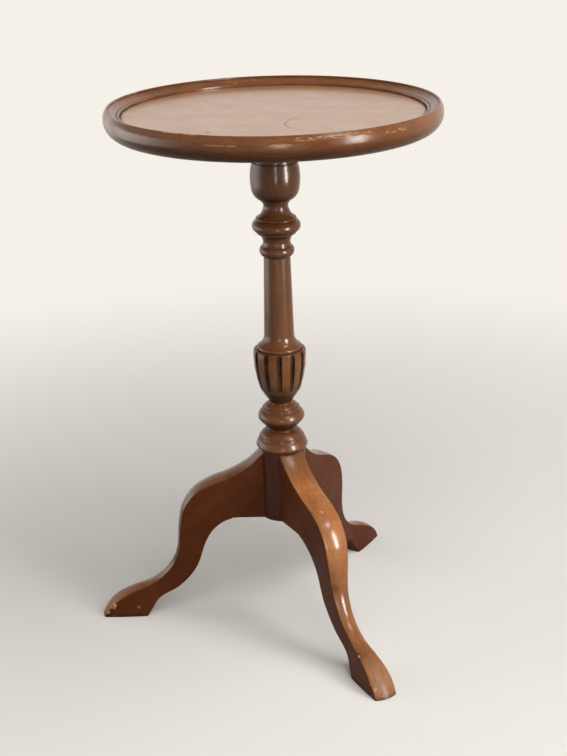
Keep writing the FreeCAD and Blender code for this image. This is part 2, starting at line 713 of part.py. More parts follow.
def make_leg(label, bearing):
    """A cabriole leg along +X, lofted through its stations, then turned to its place round the pillar."""
    body = new_body(label)
    reach = "(leg_reach - leg_seat_radius)"
    root_top = f"({CAP_BOTTOM} - leg_cap_gap)"
    sections = []
    for number, shares in enumerate(LEG_STATION_SHARES):
        crest_out, crest_up, belly_out, belly_up, width_share, crown_share = shares
        belly_across = f"leg_seat_radius + {reach} * {belly_out}"
        belly_along = f"{DRUM_BOTTOM} * {belly_up}"
        run = f"({reach} * {crest_out} - {reach} * {belly_out})"
        rise = f"({root_top} * {crest_up} - {belly_along})"
        sketch = new_sketch(body, f"station_{number}", "YZ_Plane", belly_across)
        sketch.AttachmentOffset = Placement(Vector(0, 0, 0), Rotation(Vector(1, 0, 0), 1))
        sketch.setExpression("AttachmentOffset.Base.y", bound(belly_along))
        sketch.setExpression("AttachmentOffset.Rotation.Angle", bound(f"atan2({run}; {rise})"))
        depth = f"sqrt({run}^2 + {rise}^2)"
        side = f"leg_thickness / 2 * {width_share}"
        arris = f"{depth} - leg_crown * {crown_share}"
        draw(sketch, [
            (f"-{side}", "0"),
            (side, "0"),
            (side, arris),
            ("0", depth, f"-{side}", arris),
        ])
        sections.append(sketch)
    doc.recompute()
    loft = body.newObject("PartDesign::AdditiveLoft", f"{label}_loft")
    loft.Profile = sections[0]
    loft.Sections = sections[1:]
    doc.recompute()

    key_sketch = new_sketch(body, "key_outline", "XY_Plane", DRUM_BOTTOM)
    draw(key_sketch, key_outline("1"))
    raised(body, "Pad", "key", key_sketch, "drum_height - key_stop")

    sole_sketch = new_sketch(body, "sole_outline", "XY_Plane")
    far = "leg_reach + leg_thickness"
    draw(sole_sketch, [
        ("leg_seat_radius", "-leg_thickness"), (far, "-leg_thickness"),
        (far, "leg_thickness"), ("leg_seat_radius", "leg_thickness"),
    ])
    raised(body, "Pocket", "sole", sole_sketch, "drum_floor_gap")

    flat_sketch = new_sketch(body, "strap_flat_outline", "XY_Plane", DRUM_BOTTOM)
    flat_end = "strap_reach + strap_thickness"
    draw(flat_sketch, [
        ("leg_seat_radius", "-leg_thickness"), (flat_end, "-leg_thickness"),
        (flat_end, "leg_thickness"), ("leg_seat_radius", "leg_thickness"),
    ])
    raised(body, "Pocket", "strap_flat", flat_sketch, "strap_thickness")
    turned(
        body, "Groove", "screw_hole",
        screw_outline("strap_leg_screw_radius", STRAP_BOTTOM, "strap_screw_length", "glue_gap"),
        "strap_leg_screw_radius",
    )
    body.Placement = Placement(Vector(0, 0, 0), Rotation(Vector(0, 0, 1), bearing))
    doc.recompute()
    return body


def make_leg_strap():
    """The three-armed iron plate screwed up under the drum and the legs' roots."""
    body = new_body("leg_strap")
    hub_sketch = new_sketch(body, "hub_outline", "XY_Plane", STRAP_BOTTOM)
    draw_circle(hub_sketch, "strap_hub_diameter")
    raised(body, "Pad", "hub", hub_sketch, "strap_thickness")
    arm_sketch = new_sketch(body, "arm_outline", "XY_Plane", STRAP_BOTTOM)
    half = "strap_arm_width / 2"
    shoulder = f"-strap_reach + {half}"
    draw(arm_sketch, [
        ("0", f"-{half}"),
        ("0", half),
        (shoulder, half),
        ("-strap_reach", "0", shoulder, f"-{half}"),
    ])
    arm = raised(body, "Pad", "arm", arm_sketch, "strap_thickness")
    patterned(body, "arms", [arm], "leg_count")
    leg_hole = turned(
        body, "Groove", "leg_hole",
        screw_outline("-strap_leg_screw_radius", STRAP_BOTTOM, "strap_screw_length", "glue_gap"),
        "-strap_leg_screw_radius",
    )
    drum_hole = turned(
        body, "Groove", "drum_hole",
        screw_outline("strap_drum_screw_radius", STRAP_BOTTOM, "strap_screw_length", "glue_gap"),
        "strap_drum_screw_radius",
    )
    patterned(body, "holes", [leg_hole, drum_hole], "leg_count")
    return body


pieces = [
    make_top_field(),
    make_top_rim(),
    make_pillar_block(),
    make_screws("block_screws", "block_screw_circle / 2", "block_screw_count",
                BLOCK_BOTTOM, "block_screw_length"),
    make_tenon_wedge(),
    make_pillar_shaft(),
    make_pillar_base(),
    *[make_leg(label, bearing) for label, bearing in LEG_BEARINGS.items()],
    make_leg_strap(),
    make_screws("strap_drum_screws", "strap_drum_screw_radius", "leg_count", STRAP_BOTTOM, "strap_screw_length"),
    make_screws("strap_leg_screws", "-strap_leg_screw_radius", "leg_count", STRAP_BOTTOM, "strap_screw_length"),
]
doc.recompute()

for thing in doc.Objects:
    if "Invalid" in thing.State or "Error" in thing.State:
        raise RuntimeError(f"{thing.Label} failed: {thing.State}")
for piece in pieces:
    if piece.Shape.isNull() or not piece.Shape.isValid():
        raise RuntimeError(f"{piece.Label} has no valid shape")

os.makedirs("parts", exist_ok=True)
for piece in pieces:
    piece.Shape.exportStep(f"parts/{piece.Label}.step")
    print(piece.Label, "solids", len(piece.Shape.Solids), "volume", round(piece.Shape.Volume))
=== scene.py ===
# %% [markdown]
# # A wine table, dressed over its CAD frame
#
# The object is a small pedestal table of brown stained mahogany. A dished round top stands on a turned
# pillar, and the pillar stands on three cabriole legs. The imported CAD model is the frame: every piece made
# here stands exactly where its CAD node stands, and only adds smooth surfaces, finishes and signs of use.

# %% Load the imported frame
import math

import bpy
from mathutils import Matrix, Vector


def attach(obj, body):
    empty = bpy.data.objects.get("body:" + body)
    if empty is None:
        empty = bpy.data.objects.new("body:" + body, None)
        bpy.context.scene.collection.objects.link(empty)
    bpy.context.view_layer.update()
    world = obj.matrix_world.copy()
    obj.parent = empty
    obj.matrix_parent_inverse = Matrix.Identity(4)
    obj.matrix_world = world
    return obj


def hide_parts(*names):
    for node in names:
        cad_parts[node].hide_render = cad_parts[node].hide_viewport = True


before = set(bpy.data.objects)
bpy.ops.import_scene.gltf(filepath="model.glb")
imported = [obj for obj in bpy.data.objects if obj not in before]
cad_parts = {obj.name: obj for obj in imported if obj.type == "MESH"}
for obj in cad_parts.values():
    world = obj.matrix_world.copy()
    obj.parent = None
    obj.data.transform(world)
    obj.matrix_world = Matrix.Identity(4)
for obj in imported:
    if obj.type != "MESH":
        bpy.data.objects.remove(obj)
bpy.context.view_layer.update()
MM = 0.001
print("frame nodes:", ", ".join(sorted(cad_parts)))

# %% [markdown]
# ## Turning on a lathe
#
# Most of this table was turned. On a lathe the maker follows one outline, and the wood spins past it.
# Blender's Spin does the same: draw half the outline as a chain of vertices by extruding one vertex, ease
# its sharp corners with a vertex bevel, and spin the chain once round the Z axis. It could also be a curve
# with a Screw modifier, but a spun mesh is plain geometry that can be cut and measured afterwards.

# %% Outlines from lines and arcs
ARC_STEP = 8 * math.pi / 180


def circle_through(first, second, third):
    """Centre and radius of the circle through three points."""
    (ax, ay), (bx, by), (cx, cy) = first, second, third
    double = 2 * (ax * (by - cy) + bx * (cy - ay) + cx * (ay - by))
    a2, b2, c2 = ax * ax + ay * ay, bx * bx + by * by, cx * cx + cy * cy
    ox = (a2 * (by - cy) + b2 * (cy - ay) + c2 * (ay - by)) / double
    oy = (a2 * (cx - bx) + b2 * (ax - cx) + c2 * (bx - ax)) / double
    return ox, oy, math.hypot(ax - ox, ay - oy)


def arc_through(begin, via, end):
    """Points of the arc from begin by way of via to end, without begin itself."""
    ox, oy, radius = circle_through(begin, via, end)
    first, middle, last = (math.atan2(y - oy, x - ox) for x, y in (begin, via, end))
    sweep = (last - first) % math.tau
    if (middle - first) % math.tau > sweep:
        sweep -= math.tau
    count = max(3, math.ceil(abs(sweep) / ARC_STEP))
    turns = [first + sweep * step / count for step in range(1, count + 1)]
    return [(ox + radius * math.cos(turn), oy + radius * math.sin(turn)) for turn in turns]


NEAR_END = 1.6


def straight_to(begin, end):
    """The end of a straight run, with a point near each end of a long one."""
    length = math.dist(begin, end)
    if length < 3 * NEAR_END:
        return [end]
    share = NEAR_END / length
    near = [tuple(a + (b - a) * part for a, b in zip(begin, end)) for part in (share, 1 - share)]
    return near + [end]


def outline(corners):
    """A chain of (radius, height) points. Four values run an arc by way of the first two."""
    points = [corners[0]]
    for corner in corners[1:]:
        if len(corner) == 4:
            points += arc_through(points[-1], corner[:2], corner[2:])
        else:
            points += straight_to(points[-1], corner)
    return points


print("an arc of a quarter circle has", len(arc_through((1, 0), (0.7071, 0.7071), (0, 1))), "steps")

# %% The lathe itself
CORNER_TURN = 24 * math.pi / 180


def deselect_all():
    if bpy.context.mode != "OBJECT":
        bpy.ops.object.mode_set(mode="OBJECT")
    bpy.ops.object.select_all(action="DESELECT")


def corner_turn(before, here, after):
    """How far a chain turns at a point: leftwards, round an arris, is positive."""
    first = math.atan2(here[1] - before[1], here[0] - before[0])
    second = math.atan2(after[1] - here[1], after[0] - here[0])
    return (second - first + math.pi) % math.tau - math.pi


def sharp_corners(points, closed):
    """The chain's arrises and its quirks, which are the corners that turn inwards."""
    arrises, quirks = [], []
    count = len(points)
    for number, here in enumerate(points):
        if not closed and number in (0, count - 1):
            continue
        bend = corner_turn(points[number - 1], here, points[(number + 1) % count])
        if abs(bend) > CORNER_TURN:
            (arrises if bend > 0 else quirks).append(here)
    return arrises, quirks


def draw_chain(name, points, closed):
    """One vertex, extruded from point to point in the XZ plane."""
    deselect_all()
    bpy.ops.mesh.primitive_plane_add(size=MM)
    piece = bpy.context.object
    piece.name = piece.data.name = name
    bpy.ops.object.mode_set(mode="EDIT")
    bpy.ops.mesh.select_all(action="SELECT")
    bpy.ops.mesh.merge(type="CENTER")
    bpy.ops.transform.translate(value=(points[0][0] * MM, 0, points[0][1] * MM))
    for (r0, z0), (r1, z1) in zip(points, points[1:]):
        step = ((r1 - r0) * MM, 0, (z1 - z0) * MM)
        bpy.ops.mesh.extrude_region_move(TRANSFORM_OT_translate={"value": step})
    if closed:
        step = ((points[0][0] - points[-1][0]) * MM, 0, (points[0][1] - points[-1][1]) * MM)
        bpy.ops.mesh.extrude_region_move(TRANSFORM_OT_translate={"value": step})
        bpy.ops.mesh.select_all(action="SELECT")
        bpy.ops.mesh.remove_doubles(threshold=MM / 1000)
    return piece


def ease_corners(piece, corners, ease):
    """Round the chain's sharp corners a little, as sandpaper does."""
    spots = [Vector((radius * MM, 0, height * MM)) for radius, height in corners]
    bpy.ops.mesh.select_all(action="DESELECT")
    bpy.ops.object.mode_set(mode="OBJECT")
    for vertex in piece.data.vertices:
        vertex.select = any((vertex.co - spot).length < MM / 1000 for spot in spots)
    bpy.ops.object.mode_set(mode="EDIT")
    bpy.ops.mesh.select_mode(type="VERT")
    bpy.ops.mesh.bevel(offset=ease * MM, segments=2, affect="VERTICES", clamp_overlap=True)


def turn(name, corners, steps, ease, closed=False):
    """Spin an outline of millimetres into a closed solid about the Z axis."""
    points = outline(corners)
    arrises, quirks = sharp_corners(points, closed)
    piece = draw_chain(name, points, closed)
    ease_corners(piece, arrises + quirks, ease)
    bpy.ops.mesh.select_all(action="SELECT")
    bpy.ops.mesh.spin(steps=steps, angle=math.tau, center=(0, 0, 0), axis=(0, 0, 1))
    bpy.ops.mesh.select_all(action="SELECT")
    bpy.ops.mesh.remove_doubles(threshold=MM / 500)
    bpy.ops.mesh.normals_make_consistent(inside=False)
    bpy.ops.object.mode_set(mode="OBJECT")
    print(name, "has", len(piece.data.polygons), "faces,", len(quirks), "quirks and", len(arrises), "arrises")
    return piece, arrises, quirks


def smooth(piece, degrees):
    deselect_all()
    piece.select_set(True)
    bpy.context.view_layer.objects.active = piece
    bpy.ops.object.shade_smooth_by_angle(angle=math.radians(degrees))


print("corners that turn more than", round(math.degrees(CORNER_TURN)), "degrees get eased")

# %% [markdown]
# ## The dished top
#
# The field is a flat board with a tongue round its edge. The rim is a separate moulded ring that laps over
# the tongue: a rounded nose outside, a narrow crest, and a cove with a small bead inside. Both are turned.

# %% Turn the field and the rim
FIELD_TOP = 580.4
top_field, field_arrises, field_quirks = turn("field_board", [
    (0, 565), (160, 565), (160, 576.4), (155.3, 576.4), (155.3, FIELD_TOP), (0, FIELD_TOP),
], steps=192, ease=0.5)
smooth(top_field, 30)

top_rim, rim_arrises, rim_quirks = turn("rim_moulding", [
    # Underside and bullnose
    (160.1, 563.3), (162.2, 563.3), (169.85, 569.7, 172.5, 580.2), (171.7, 584.8, 169.9, 588.2),
    # Crest, a small step and the cove
    (168.9, 589.15, 167.5, 588.5), (167.1, 587.5), (166.4, 587.15), (162.3, 584.3, 158.3, 583.15),
    # Bead, inner wall and rebate
    (157.0, 583.25, 155.5, 582.3), (155.5, 576.4), (160.1, 576.4),
], steps=256, ease=0.22, closed=True)
smooth(top_rim, 40)

# %% [markdown]
# ## The pillar
#
# The pillar is two turnings. The upper one runs from a cup under the top, by rings and coves, to a plain
# tapering shaft with a flared shoulder. The lower one is a fluted vase, a knop, a stepped cap and the drum
# that takes the legs. The shoulder of the upper one sits down inside the lip of the vase.

# %% Turn the upper pillar
pillar_shaft, shaft_arrises, shaft_quirks = turn("pillar_shaft_turning", [
    # Lower tenon, shoulder and plain shaft
    (0, 285), (9, 285), (9, 323), (23.9, 323), (23.9, 325),
    (24.2, 327.2, 22.5, 329.3), (18.4, 333.7, 16.3, 341.5), (14.2, 428.5),
    # Bead, and the cove above it
    (15.7, 429), (18.6, 435.2, 16.5, 439.4), (15.5, 439.7), (15.3, 440.7),
    (14.55, 443.4, 15.2, 447), (16.7, 450.3, 19.9, 453.3),
    # Ring, with a small bead on it
    (20.9, 453.5), (20.9, 455.3), (21.8, 455.4), (25.7, 462.3, 22.1, 467.3),
    (20.5, 467.8), (21.6, 469.1, 20.6, 470.6),
    # Upper cove and cup
    (16.6, 473.9, 14.03, 478.5), (13.1, 482, 14.5, 487), (15.2, 487), (15.2, 488.4),
    (22, 493.2, 25.25, 500.2), (26.3, 512.5, 24.1, 528.6),
    # Collar and upper tenon
    (24.6, 528.7), (25.2, 529.1, 24.7, 529.5), (23, 529.5), (23, 545), (13, 545), (13, 565), (0, 565),
], steps=128, ease=0.3)
smooth(pillar_shaft, 40)

# %% Turn the lower pillar
pillar_base, base_arrises, base_quirks = turn("pillar_base_turning", [
    # Drum and stepped cap
    (0, 127), (25.6, 127), (25.6, 209.5), (26.3, 209.5), (28, 211, 28.4, 213.4), (27.2, 217, 25.4, 220.2),
    (24.8, 220.2), (24.8, 222.4), (24.2, 222.4), (24.2, 223.7), (23.6, 223.7), (21.7, 226.9, 14.2, 229.3),
    # Neck and knop
    (13.4, 229.3), (13.4, 232.2), (20.7, 238.3, 25.2, 243.9), (25.5, 244.6), (25.05, 248.8, 21.3, 253.5),
    (20.4, 253.5), (20.4, 256), (20.2, 256.7, 19.6, 257), (19, 257), (16.9, 259.8, 12.7, 261.4),
    # Vase, its lip, and the socket for the shaft
    (12, 261.4), (12, 263.5), (17.7, 271.9, 22.4, 279.5), (26.75, 296.6, 28.7, 319.4),
    (28.1, 322.8), (27.3, 324.5, 25.5, 324.9), (24, 324.6), (24, 323),
    (9.1, 323), (9.1, 284.9), (0, 284.9),
], steps=144, ease=0.3)

# %% [markdown]
# The flutes of the vase are scooped with a round gouge along a curved path. A torus set upright is such a
# path with a round section, so a ring of them, placed round the vase, makes the cutters. The legs' seats
# are plain flats, cut with boxes. One Boolean modifier then takes all of them away at once.

# %% Cutters for the flutes and the seats
FLUTES = 12
FLUTE_GOUGE = 2.5
FLUTE_PATH = [(28.9, 326.5), (27.1, 300), (24.5, 279.5)]
GOUGE_FOOT, GOUGE_TOP = 0.27, 0.33


def join(pieces):
    deselect_all()
    for piece in pieces:
        piece.select_set(True)
    bpy.context.view_layer.objects.active = pieces[0]
    bpy.ops.object.join()
    return pieces[0]


def cut_away(piece, cutter):
    """Take a cutter out of a piece with a Boolean, then throw the cutter away."""
    deselect_all()
    piece.select_set(True)
    bpy.context.view_layer.objects.active = piece
    modifier = piece.modifiers.new("cut", "BOOLEAN")
    modifier.operation = "DIFFERENCE"
    modifier.solver = "EXACT"
    modifier.object = cutter
    bpy.ops.object.modifier_apply(modifier=modifier.name)
    bpy.data.objects.remove(cutter)


across, height, reach = circle_through(*FLUTE_PATH)
cutters = []
for number in range(FLUTES):
    deselect_all()
    bpy.ops.mesh.primitive_torus_add(
        major_radius=reach * MM, minor_radius=FLUTE_GOUGE * MM, major_segments=720, minor_segments=28,
        location=(0, 0, 0), rotation=(0, 0, 0),
    )
    gouge = bpy.context.object
    place = Matrix.Translation((across * MM, 0, height * MM)) @ Matrix.Rotation(math.pi / 2, 4, "X")
    gouge.data.transform(Matrix.Rotation(math.tau * number / FLUTES, 4, "Z") @ place)
    bpy.ops.object.mode_set(mode="EDIT")
    bpy.ops.mesh.select_all(action="SELECT")
    bpy.ops.mesh.bisect(plane_co=(0, 0, GOUGE_FOOT), plane_no=(0, 0, 1), clear_inner=True, use_fill=True)
    bpy.ops.mesh.select_all(action="SELECT")
    bpy.ops.mesh.bisect(plane_co=(0, 0, GOUGE_TOP), plane_no=(0, 0, 1), clear_outer=True, use_fill=True)
    bpy.ops.object.mode_set(mode="OBJECT")
    cutters.append(gouge)
print("flute gouge path has a radius of", round(reach, 1), "mm")

# %% Cut the flutes and the seats
LEG_BEARINGS = {"leg_left": 180, "leg_front": 300, "leg_rear": 60}
SEAT_RADIUS, SEAT_MIDDLE = 21, 164.55
SEAT_SIZE = (0.02, 0.06, 0.0891)
for bearing in LEG_BEARINGS.values():
    deselect_all()
    bpy.ops.mesh.primitive_cube_add(size=1, location=(0, 0, 0))
    seat = bpy.context.object
    spot = Matrix.Translation((SEAT_RADIUS * MM + SEAT_SIZE[0] / 2, 0, SEAT_MIDDLE * MM))
    seat.data.transform(Matrix.Rotation(math.radians(bearing), 4, "Z") @ spot @ Matrix.Diagonal((*SEAT_SIZE, 1)))
    cutters.append(seat)
cut_away(pillar_base, join(cutters))
smooth(pillar_base, 32)
print("pillar base after cutting:", len(pillar_base.data.polygons), "faces")

# %% [markdown]
# ## The block under the top
#
# Out of sight from above, a turned disc takes the pillar's tenon and is screwed to the field board. It is
# turned like the rest, and cones cut the countersinks that the CAD screws sit in.

# %% Turn the block and countersink it
pillar_block, block_arrises, block_quirks = turn("block_disc", [
    (23.2, 545), (48, 545), (52, 549), (52, 565), (13.2, 565), (13.2, 545.2),
], steps=96, ease=0.5, closed=True)
SCREW_COUNT, SCREW_CIRCLE = 4, 38
SINK_MOUTH, SINK_END, SINK_DEPTH, SINK_MIDDLE = 4.4, 2.1, 3, 546.1
sinks = []
for number in range(SCREW_COUNT):
    deselect_all()
    bpy.ops.mesh.primitive_cone_add(
        vertices=40, radius1=SINK_MOUTH * MM, radius2=SINK_END * MM, depth=SINK_DEPTH * MM,
    )
    sink = bpy.context.object
    spot = Matrix.Translation((SCREW_CIRCLE * MM, 0, SINK_MIDDLE * MM))
    sink.data.transform(Matrix.Rotation(math.tau * number / SCREW_COUNT, 4, "Z") @ spot)
    sinks.append(sink)
cut_away(pillar_block, join(sinks))
smooth(pillar_block, 30)

# %% [markdown]
# ## The cabriole legs
#
# A cabriole leg is sawn from a plank: its flanks stay flat, its outer face is crowned with a spokeshave, and
# it swings out at the knee and in at the ankle before it lands on a plain foot. The shape is known at
# a few stations from the drum to the toe. A face with the outline of the first station is extruded from
# station to station, so the flow of the mesh follows the leg. One leg is made, cut flat at the floor, and
# copied twice round the pillar.

# %% Stations of a leg
# Each row: crest out and up, belly out and up, width, and the rise of the crown, all in millimetres.
LEG_STATIONS = [
    (21, 209, 21, 127, 29.0, 3.2), (40, 191, 31, 127, 29.0, 3.2), (62, 178.3, 42, 127, 29.0, 3.2),
    (84, 169.3, 52, 126.9, 29.0, 3.2), (103, 157, 62, 124.5, 28.4, 3.2), (115, 139, 71.5, 119.3, 27.6, 3.2),
    (120, 117.2, 81, 110, 25.5, 3.2), (122, 94.3, 89.5, 94.5, 22.0, 3.0), (127, 73.6, 101, 62.5, 18.6, 2.9),
    (140, 54.1, 121.5, 37.5, 16.5, 2.7), (160, 40.1, 147, 21, 17.4, 2.7), (178, 32.8, 155.5, 8, 20.9, 2.9),
    (194, 24.2, 164, -3.5, 24.9, 3.2), (207, 11.9, 185, -12, 26.4, 3.2), (215, -2.9, 207, -15, 24.9, 2.9),
]
STRAP_END = 58
STRAP_TOP = 127


def along(stations):
    """Distance along the middle of the leg at each station."""
    places = [((a + c) / 2, (b + d) / 2) for a, b, c, d, _, _ in stations]
    runs = [0.0]
    for (x0, z0), (x1, z1) in zip(places, places[1:]):
        runs.append(runs[-1] + math.hypot(x1 - x0, z1 - z0))
    return runs


def slope(runs, values, number):
    """The slope of a smooth curve through one station, from its two neighbours."""
    low, high = max(0, number - 1), min(len(runs) - 1, number + 1)
    if number in (low, high):
        return (values[high] - values[low]) / (runs[high] - runs[low])
    before = (values[number] - values[low]) / (runs[number] - runs[low])
    after = (values[high] - values[number]) / (runs[high] - runs[number])
    weight = (runs[number] - runs[low]) / (runs[high] - runs[low])
    return before * (1 - weight) + after * weight


def between(runs, values, number, share):
    """A value a share of the way from one station to the next, on a cubic curve."""
    length = runs[number + 1] - runs[number]
    rise, fall = slope(runs, values, number) * length, slope(runs, values, number + 1) * length
    start, end = values[number], values[number + 1]
    return ((2 * share**3 - 3 * share**2 + 1) * start + (share**3 - 2 * share**2 + share) * rise
            + (3 * share**2 - 2 * share**3) * end + (share**3 - share**2) * fall)


def fine_stations(stations, parts):
    runs = along(stations)
    columns = list(zip(*stations))
    rows = []
    for number in range(len(stations) - 1):
        for part in range(parts):
            rows.append(tuple(between(runs, column, number, part / parts) for column in columns))
    return rows + [stations[-1]]


leg_rows = fine_stations(LEG_STATIONS, parts=6)
print("the leg is extruded through", len(leg_rows), "outlines")

# %% The outline of one station
ARRIS = 0.8
BELLY_EASE = 0.7
FLANK_INSET = 2
CROWN_STEPS = 10
SIDE_POINTS = 8


def half_outline(half, depth, crown):
    """The right side of a station, from the belly up to the crown's edge, with an arris mark from 0 to 1."""
    shoulder = depth - crown
    swing = 2 * math.atan2(crown, half)
    radius = half / math.sin(swing)
    edge = swing - ARRIS / radius
    on_crown = (radius * math.sin(edge), depth - radius + radius * math.cos(edge))
    corner = ((half + on_crown[0]) / 4 + half / 2, (shoulder - ARRIS + on_crown[1]) / 4 + shoulder / 2)
    side = [
        (half - BELLY_EASE, 0, 0.5), (half - 0.3 * BELLY_EASE, 0.3 * BELLY_EASE, 0.8),
        (half, BELLY_EASE, 0.5), (half, BELLY_EASE + FLANK_INSET, 0), (half, shoulder / 2, 0),
        (half, shoulder - ARRIS - FLANK_INSET, 0), (half, shoulder - ARRIS, 0.7), (*corner, 1),
    ]
    return side, edge, radius


def leg_outline(width, depth, crown):
    side, edge, radius = half_outline(width / 2, depth, crown)
    top = []
    for step in range(CROWN_STEPS + 1):
        swing = edge - 2 * edge * step / CROWN_STEPS
        mark = 0.7 if step in (0, CROWN_STEPS) else 0
        top.append((radius * math.sin(swing), depth - radius + radius * math.cos(swing), mark))
    other = [(-x, y, mark) for x, y, mark in reversed(side)]
    return side + top + other + [(-width / 6, 0, 0), (width / 6, 0, 0)]


def place_outline(row):
    """The outline of a row as points of the leg, which lies along +X."""
    crest = Vector((row[0], 0, row[1]))
    belly = Vector((row[2], 0, row[3]))
    up = (crest - belly).normalized()
    flat = leg_outline(row[4], (crest - belly).length, row[5])
    places = [belly + up * rise + Vector((0, side, 0)) for side, rise, _ in flat]
    for place in places:
        if place.x < STRAP_END:
            place.z = max(place.z, STRAP_TOP)
    return [place * MM for place in places], [mark for _, _, mark in flat]


print("an outline has", len(leg_outline(29, 84, 5.5)), "points")

# %% Extrude one leg and cut its sole
LEG_GRAIN_FALL = math.radians(40)


def add_mark(piece, name, values):
    """Keep one number for each point of a piece."""
    piece.data.attributes.new(name, "FLOAT", "POINT").data.foreach_set("value", values)


def extrude_leg(rows):
    """A leg along +X: a face with the first outline, extruded and shaped row by row."""
    outlines = [place_outline(row) for row in rows]
    count = len(outlines[0][0])
    deselect_all()
    bpy.ops.mesh.primitive_circle_add(vertices=count, radius=0.01, fill_type="NGON")
    leg = bpy.context.object
    bpy.ops.object.mode_set(mode="EDIT")
    bpy.ops.mesh.select_all(action="SELECT")
    for _ in rows[1:]:
        bpy.ops.mesh.extrude_region_move(TRANSFORM_OT_translate={"value": (MM, 0, 0)})
    bpy.ops.object.mode_set(mode="OBJECT")
    places = [place for outline_places, _ in outlines for place in outline_places]
    marks = [mark for _, outline_marks in outlines for mark in outline_marks]
    for vertex, place in zip(leg.data.vertices, places):
        vertex.co = place
    add_mark(leg, "arris", marks)
    last = SIDE_POINTS + CROWN_STEPS
    add_mark(leg, "crown", [float(SIDE_POINTS <= number % count <= last) for number in range(len(marks))])
    return leg


def cut_sole(leg):
    bpy.ops.object.mode_set(mode="EDIT")
    bpy.ops.mesh.select_all(action="SELECT")
    bpy.ops.mesh.bisect(plane_co=(0, 0, 0), plane_no=(0, 0, 1), clear_inner=True, use_fill=True)
    bpy.ops.mesh.select_all(action="SELECT")
    bpy.ops.mesh.remove_doubles(threshold=MM / 500)
    bpy.ops.mesh.normals_make_consistent(inside=False)
    bpy.ops.object.mode_set(mode="OBJECT")


def mark_board(leg, shift):
    """Keep each point's place on the plank that the leg was sawn from, with X along the grain."""
    turned = Matrix.Translation(shift) @ Matrix.Rotation(-LEG_GRAIN_FALL, 4, "Y")
    board = leg.data.attributes.new("board", "FLOAT_VECTOR", "POINT")
    for vertex in leg.data.vertices:
        board.data[vertex.index].vector = turned @ vertex.co


first_leg = extrude_leg(leg_rows)
cut_sole(first_leg)
print("one leg has", len(first_leg.data.polygons), "faces")

# %% Copy the leg round the pillar
PLANK_SHIFT = Vector((0.61, 0.23, 0.17))
legs = {}
for number, (node, bearing) in enumerate(LEG_BEARINGS.items()):
    deselect_all()
    first_leg.select_set(True)
    bpy.context.view_layer.objects.active = first_leg
    bpy.ops.object.duplicate(linked=False)
    copy = bpy.context.object
    copy.name = copy.data.name = f"cabriole_{node}"
    mark_board(copy, PLANK_SHIFT * number)
    copy.data.transform(Matrix.Rotation(math.radians(bearing), 4, "Z"))
    smooth(copy, 32)
    legs[node] = copy
bpy.data.objects.remove(first_leg)
print("legs:", ", ".join(leg.name for leg in legs.values()))

# %% [markdown]
# ## Marks for the finish
#
# Stain and dirt gather in the quirks of a turning, and the quirks are darkened as painted shade as well;
# hands rub its arrises pale. The finish needs to know where those are, so each turned piece gets two point
# attributes, worked out from the corners of its own outline: 1 at the corner, and nothing a short way off. A
# third one marks what faces the floor, where the finish paints shade and leaves the lacquer dull.

# %% Mark quirks, arrises and undersides
ARRIS_REACH, QUIRK_REACH = 1.3, 1.5
UNDER_GAIN, UNDER_START = 2, 0.3


def nearness(vertex, corners, reach):
    """1 at a corner of the outline, falling to 0 at a distance."""
    radius, height = math.hypot(vertex.co.x, vertex.co.y) / MM, vertex.co.z / MM
    nearest = min((math.dist((radius, height), corner) for corner in corners), default=reach)
    return max(0.0, 1 - nearest / reach)


def mark_corners(piece, arrises, quirks):
    for name, corners, reach in (("arris", arrises, ARRIS_REACH), ("quirk", quirks, QUIRK_REACH)):
        add_mark(piece, name, [nearness(vertex, corners, reach) for vertex in piece.data.vertices])
    # Painted shade: the more a face points down, the darker the finish paints it.
    facing_down = [-UNDER_GAIN * vertex.normal.z - UNDER_START for vertex in piece.data.vertices]
    add_mark(piece, "underside_shade", [min(1.0, max(0.0, value)) for value in facing_down])


mark_corners(top_field, field_arrises, field_quirks)
mark_corners(top_rim, rim_arrises, rim_quirks)
mark_corners(pillar_shaft, shaft_arrises, shaft_quirks)
mark_corners(pillar_base, base_arrises, base_quirks)
mark_corners(pillar_block, block_arrises, block_quirks)
print("quirks on the pillar:", len(shaft_quirks) + len(base_quirks))

# %% [markdown]
# ## Helpers for the finishes
#
# A finish is a small network of shader nodes. Adding nodes one by one from Python is wordy, so a few helpers
# add a node, fill its inputs and hand back its output. An input may be a plain number or another output.

# %% Node helpers
def paint(red, green, blue):
    return red, green, blue, 1.0


def fill_inputs(tree, node, inputs):
    """Give a node's inputs plain values, or link them to other nodes' outputs."""
    for name, value in inputs.items():
        if isinstance(value, bpy.types.NodeSocket):
            tree.links.new(value, node.inputs[name])
        else:
            node.inputs[name].default_value = value


def add(tree, kind, inputs=None, **settings):
    """Add a shader node, set it up and fill its inputs."""
    node = tree.nodes.new("ShaderNode" + kind)
    for name, value in settings.items():
        setattr(node, name, value)
    fill_inputs(tree, node, inputs or {})
    return node


def calc(tree, operation, *values):
    return add(tree, "Math", dict(enumerate(values)), operation=operation).outputs[0]


def times(tree, first, *others):
    for value in others:
        first = calc(tree, "MULTIPLY", first, value)
    return first


def most(tree, first, *others):
    for value in others:
        first = calc(tree, "MAXIMUM", first, value)
    return first


def square_span(tree, east, north):
    return calc(tree, "ADD", times(tree, east, east), times(tree, north, north))


def span(tree, east, north):
    """The length of a flat vector."""
    return calc(tree, "SQRT", square_span(tree, east, north))


print("helpers for sums are ready")

# %% Helpers for masks, mixes and groups
def ramp(tree, value, low, high, to_low=0.0, to_high=1.0):
    """A soft step: to_low up to the value low, to_high from the value high."""
    inputs = dict(enumerate((value, low, high, to_low, to_high)))
    return add(tree, "MapRange", inputs, interpolation_type="SMOOTHSTEP").outputs[0]


